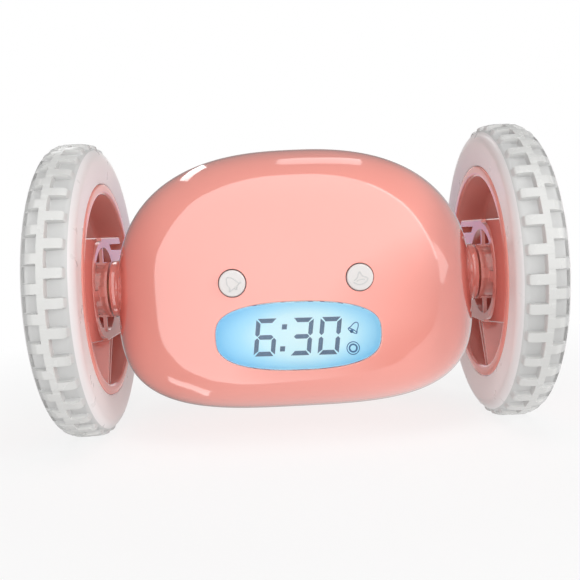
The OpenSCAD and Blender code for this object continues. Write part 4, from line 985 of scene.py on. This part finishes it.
# Along the axle: the lip, the dish's floor and its back, and the rim's outer end
LIP_X, FLOOR_X, FLOOR_END, RIM_END = 54.25, 63.65, 65.25, 66.15
DISH_R, LIP_R, RIM_WALL, BORE_R = 28.0, 30.9, 1.4, 8.03
# The well round the hub, and the seat of its ring
WELL_R, WELL_X, SEAT_R, SEAT_X = 12.5, 62.55, 14.43, 57.0
BEAM_X, BEAM_H, BEAM_SLOPE, BEAM_RISE, BEVEL = 56.0, 15.3, 0.096, 0.112, 0.3
OPEN_X = 50


def dish_profile():
    """(along, radius) round a dish: floor, rounded corner, rounded lip, and the back."""
    corner, lip_in, lip_out = 1.2, 0.75, 0.5
    quarter = np.linspace(0, math.pi / 2, 7)
    p = [(FLOOR_X, BORE_R)]
    p += [(FLOOR_X - corner + corner * math.cos(a), DISH_R - corner + corner * math.sin(a)) for a in quarter]
    p += [(LIP_X + lip_in - lip_in * math.sin(a), DISH_R + lip_in - lip_in * math.cos(a)) for a in quarter]
    p += [(LIP_X + lip_out - lip_out * math.cos(a), LIP_R - lip_out + lip_out * math.sin(a)) for a in quarter]
    back_r = LIP_R - RIM_WALL
    return p + [(RIM_END, LIP_R), (RIM_END, back_r), (FLOOR_END, back_r), (FLOOR_END, BORE_R), p[0]]


def prism(outline, x0, x1):
    """A solid between two planes across the axle, from its outline's (y, z) points."""
    p = np.asarray(outline, float)
    return loft([np.column_stack([np.full(len(p), x), p]) for x in (x0, x1)])


def rod(x0, x1, r, turns=128):
    return prism(circle(0, 0, r, turns)[0], x0, x1)


def beam():
    """The bar across the dish. In front its face rises from the ring to the lip."""
    ring_y, back = -14.4, FLOOR_X + 0.8
    sections = []
    for y in (-29.0, -24.0, -19.0, ring_y, -10.0, -6.0, -3.0, -1.2, -0.6, 10.0, 20.0, 29.0):
        face = BEAM_X - 0.05 + BEAM_SLOPE * (y - ring_y) if y < -1 else BEAM_X
        low = -BEAM_H + BEAM_RISE * max(-y, 0)
        section = [(face + BEVEL, low), (face, low + BEVEL), (face, BEAM_H - BEVEL), (face + BEVEL, BEAM_H),
                   (back, BEAM_H), (back, low)]
        sections.append([(x, y, z) for x, z in section])
    return loft(sections)


def slot():
    """The slot along the beam's front half. Its inner end lies on a circle round the axle."""
    end_r, far_y, low, high = 16, 25.2, 11.2, 13.25
    angles = np.linspace(math.asin(low / end_r), math.asin(high / end_r), 7)
    return [(end_r * math.cos(a), end_r * math.sin(a)) for a in angles] + [(far_y, high), (far_y, low)]


# Outlines as (y, z): two ribs that spread from below the hub, and the web in front of it
RIBS = ([(2.9, -13.6), (3.9, -13.6), (-2.8, -28.3), (-3.8, -28.3)],
        [(6.4, -13.2), (7.4, -13.2), (-0.7, -28.4), (-1.7, -28.4)])
WEB = [(-13.0, -2.7), (-7.2, -2.7), (-7.2, 0.5), (-13.0, 0.5)]


def paint_dish_tones(dish):
    """Gives the beam's sloping face a darker matt coral, a painted shade, and the dish's floor and wall a
    paler matt coral, painted light that lifts the dish's shade.
    """
    dish.data.materials.append(beam_face_painted_shade)
    dish.data.materials.append(dish_painted_light)
    for face in dish.data.polygons:
        x, y, z = face.center * 1000 - Vector((0, 0, AXLE_Z))
        r = math.hypot(y, z)
        if abs(face.normal.x) > 0.97 and LIP_X < x < 60 and y < -0.9 and r < DISH_R:
            face.material_index = 1
        elif FLOOR_X - 1.3 < x < FLOOR_X + 0.1 and r < DISH_R or x > LIP_X + 1 and abs(r - DISH_R) < 0.1:
            face.material_index = 2


def rims():
    """The right dish with its beam, ribs and openings, the web in front, and their mirrored twins."""
    dish = weld(new_object("right_dish", *lathe(dish_profile(), 160), wheel_coral))
    bar = tidy_normals(new_object("bar", *beam(), wheel_coral))
    carve(bar, rod(OPEN_X, FLOOR_X + 0.9, DISH_R + 0.6, 150), "INTERSECT")
    boolean(dish, bar, "UNION")
    for rib in RIBS:
        carve(dish, prism(rib, BEAM_X + 0.2, FLOOR_X + 0.5), "UNION")
    for cut in (rod(OPEN_X, WELL_X, WELL_R), rod(OPEN_X, SEAT_X, SEAT_R), prism(slot(), OPEN_X, 61.15),
                rod(OPEN_X, 70, BORE_R)):
        carve(dish, cut)
    paint_dish_tones(dish)
    smooth(dish, 35)
    web = tidy_normals(smooth(new_object("right_front_web", *prism(WEB, BEAM_X - 0.05, 57.2), wheel_coral)))
    for o in (dish, web):
        twin = add_object(o.name.replace("right", "left"), o.data.copy())
        twin.data.transform(Matrix.Diagonal((-1, 1, 1, 1)))
        twin.data.flip_normals()
        for p, side in ((o, "right"), (twin, "left")):
            p.visible_glossy = False
            placed(p, side + "_wheel", "wheel", *([side + "_rim"] if o is dish else []))


rims()

# ---- Floor, backdrop and light ----


def floor_material():
    """Pale and matt. It glows like a light table, and is plain white far away, so that it has no horizon."""
    s = Shader("pale_floor")
    s.feed("Base Color", s.drift(s.noise(6, 3), (0.86, 0.86, 0.86), (0.9, 0.9, 0.9)))
    s.set(Roughness=0.9, Specular_IOR_Level=0.0)
    length = s.add("ShaderNodeVectorMath", operation="LENGTH")
    s.link(s.coords(), length.inputs[0])
    far = s.add("ShaderNodeMapRange", From_Min=0.09, From_Max=0.24, To_Min=0.78, To_Max=1.0)
    s.link(length.outputs["Value"], far.inputs["Value"])
    white = s.add("ShaderNodeEmission", Strength=1.0)
    mix = s.add("ShaderNodeMixShader")
    out = s.tree.nodes["Material Output"]
    s.link(far.outputs["Result"], mix.inputs[0])
    s.link(s.bsdf.outputs[0], mix.inputs[1])
    s.link(white.outputs[0], mix.inputs[2])
    s.link(mix.outputs[0], out.inputs["Surface"])
    return s.material


def stage_piece(name, points, faces, material):
    o = new_object(name, points, faces, material)
    return o


FLOOR_HALF = 8000
corners = [(x * FLOOR_HALF, y * FLOOR_HALF, -AXLE_Z) for x, y in ((-1, -1), (1, -1), (1, 1), (-1, 1))]
floor = stage_piece("floor", corners, [(0, 1, 2, 3)], floor_material())
floor.visible_glossy = False


def studio_world(sky=0.32, backdrop=1.0):
    """A plain sky: white to the camera, in reflections and through the lens, and dimmer as light."""
    world = bpy.data.worlds.new("studio")
    bpy.context.scene.world = world
    world.use_nodes = True
    tree = world.node_tree
    tree.nodes.clear()
    ray = add_node(tree, "ShaderNodeLightPath")
    direct, seen = (add_node(tree, "ShaderNodeMath", operation="MAXIMUM") for _ in range(2))
    tree.links.new(ray.outputs["Is Camera Ray"], direct.inputs[0])
    tree.links.new(ray.outputs["Is Glossy Ray"], direct.inputs[1])
    tree.links.new(direct.outputs[0], seen.inputs[0])
    tree.links.new(ray.outputs["Is Transmission Ray"], seen.inputs[1])
    mixer = add_node(tree, "ShaderNodeMixShader")
    tree.links.new(seen.outputs[0], mixer.inputs[0])
    for k, strength in ((1, sky), (2, backdrop)):
        plain = add_node(tree, "ShaderNodeBackground", Color=(1, 1, 1, 1), Strength=strength)
        tree.links.new(plain.outputs[0], mixer.inputs[k])
    tree.links.new(mixer.outputs[0], add_node(tree, "ShaderNodeOutputWorld").inputs["Surface"])


studio_world()


def softbox(name, at, size, power):
    """A rectangular lamp, aimed at the object. Its place is from the axles, and its size is in metres."""
    data = bpy.data.lights.new(name, "AREA")
    data.shape = "RECTANGLE"
    data.size, data.size_y = size
    data.energy = power
    o = add_object(name, data)
    a, b = Vector(metres(at)), Vector(metres((0, 0, 0)))
    o.matrix_world = Matrix.Translation(a) @ (b - a).to_track_quat("-Z", "Y").to_matrix().to_4x4()
    o.visible_glossy = False


for lamp in (("key", (100, -900, 420), (0.9, 0.7), 1.7),
             ("low", (0, -700, 80), (1.2, 0.2), 0.6),
             ("top", (0, -250, 900), (0.6, 0.5), 2.2),
             ("left", (-800, -430, 330), (0.4, 0.5), 1.2),
             ("right", (800, -430, 330), (0.4, 0.5), 3.3),
             ("back", (150, 900, 500), (0.8, 0.5), 1.6)):
    softbox(*lamp)

# Panels that only reflections see: a bright surround in front, grey flags beside it, and small ones nearer
REACH, NEAR_REACH = 1500.0, 1400.0
FLAGS_END = 163


def by_lift(azimuth, elevation):
    """A direction, with 0,0 straight in front and positive azimuths to the right of the photograph."""
    a, e = np.radians(azimuth), np.radians(elevation)
    return np.stack([np.sin(a) * np.cos(e), -np.cos(a) * np.cos(e), np.sin(e)], -1)


def by_turn(away, turn):
    """A direction by its angle from straight in front, and its angle round from the photograph's right."""
    a, t = np.radians(away), np.radians(turn)
    return np.stack([np.sin(a) * np.cos(t), -np.cos(a), np.sin(a) * np.sin(t)], -1)


def glow_material(name, strength, colour=(1, 1, 1), fade=None, faded=0.05):
    """A plain glow. A fade is a direction, and the cosines to it where the change starts and ends."""
    s = Shader(name)
    light = s.add("ShaderNodeEmission", Color=(*colour, 1), Strength=strength)
    if fade:
        towards, start, end = fade
        unit = s.add("ShaderNodeVectorMath", operation="NORMALIZE")
        dot = s.add("ShaderNodeVectorMath", operation="DOT_PRODUCT")
        s.link(s.coords(), unit.inputs[0])
        s.link(unit.outputs[0], dot.inputs[0])
        dot.inputs[1].default_value = towards
        level = s.add("ShaderNodeMapRange", From_Min=start, From_Max=end, To_Min=strength, To_Max=faded)
        s.link(dot.outputs["Value"], level.inputs["Value"])
        s.link(level.outputs["Result"], light.inputs["Strength"])
    s.link(light.outputs[0], s.tree.nodes["Material Output"].inputs["Surface"])
    return s.material


def panel(name, rows, material, reach=NEAR_REACH):
    """A sheet through rows of directions, which only glossy rays meet."""
    faces = grid_faces(len(rows), len(rows[0]), wrap=False)
    o = stage_piece(name, np.vstack(rows) * reach, faces, material)
    o.visible_camera = o.visible_diffuse = o.visible_transmission = o.visible_shadow = False


# The surround's edge: angles round from the photograph's right, and angles from straight in front
EDGE = ((-176, 67), (-163, 65), (-148, 63), (-132, 66), (-116, 71), (-107, 76), (-92, 80), (-62, 66),
        (-40, 59), (-16, 66), (-1, 74), (12, 73), (29, 72), (38, 73.5), (48, 76), (66, 82), (81, 87), (93, 88),
        (103, 85), (111, 82), (122, 79), (136, 73), (150, 70), (165, 70))
edge_turn, edge_away = np.transpose(EDGE)
turns = np.radians(edge_turn)
x, y = curve(np.stack([edge_away * np.cos(turns), edge_away * np.sin(turns)], 1), 8, True).T
edge_away, edge_turn = np.hypot(x, y), np.degrees(np.arctan2(y, x))
SHARES = np.linspace(0, 1, 25)
panel("front_surround", [by_turn(edge_away * max(share, 0.01 / 24), edge_turn) for share in SHARES],
      glow_material("surround_glow", 2.38, fade=((0.71, -0.41, -0.57), 0.5, 0.95)), REACH)
panel("side_flags", [by_turn(edge_away + (FLAGS_END - edge_away) * share, edge_turn) for share in SHARES],
      glow_material("flag_grey", 0.25, fade=((0.85, 0.0, -0.53), 0.0, 0.7), faded=0.85), REACH)


def strip(name, path, width, strength, colour=(1, 1, 1)):
    """A narrow panel along (azimuth, elevation) directions."""
    along = curve(by_lift(*np.transpose(path)), 4)
    across = np.cross(along, np.gradient(along, axis=0))
    across = unit(across) * math.tan(math.radians(width / 2))
    rows = [unit(along + side * across) for side in (-1, 1)]
    panel(name, rows, glow_material(name + "_glow", strength, colour))


def patch(name, edges, strength):
    """A panel between two edges, each a row of (azimuth, elevation) directions."""
    first, last = (curve(by_lift(*np.transpose(edge)), 6) for edge in edges)
    rows = [unit(first + (last - first) * share) for share in np.linspace(0, 1, 5)]
    panel(name, rows, glow_material(name + "_glow", strength))


patch("upper_left_strip", (((-147, 39), (-168, 22)), ((-136, 50), (-160, 40))), 2.8)
patch("top_strip", (((-179, 58), (178, 57), (167, 55), (157, 47)),
                    ((-177, 69), (177, 72), (156, 70), (140, 61))), 1.5)
patch("lower_left_strip", (((-85, -46), (-83, -62), (-110, -72)),
                           ((-98, -51), (-110, -64), (-142, -64))), 2.3)
for side, name in ((-1, "left"), (1, "right")):
    strip("lavender_" + name, ((160 * side, 0.3), (171 * side, 0.3)), 5.5, 1.15, (0.78, 0.66, 1.0))
    strip("low_flag_" + name, ((152 * side, -8), (176 * side, -8)), 8.5, 0.55)
# A bright line along the surround's upper right edge, and a pointed flare beside it
lit_part = (edge_turn > 6) & (edge_turn < 66)
panel("edge_strip", [by_turn(edge_away[lit_part] - width, edge_turn[lit_part]) for width in (0.0, 2.2)],
      glow_material("edge_glow", 4.0))
FLARE = ((74, 16), (73.5, 8), (73.5, -2)), ((75, 16), (87, 3), (77, -3))
panel("flare", [by_turn(*np.transpose(row)) for row in FLARE], glow_material("flare_glow", 2.3))

bpy.context.view_layer.update()
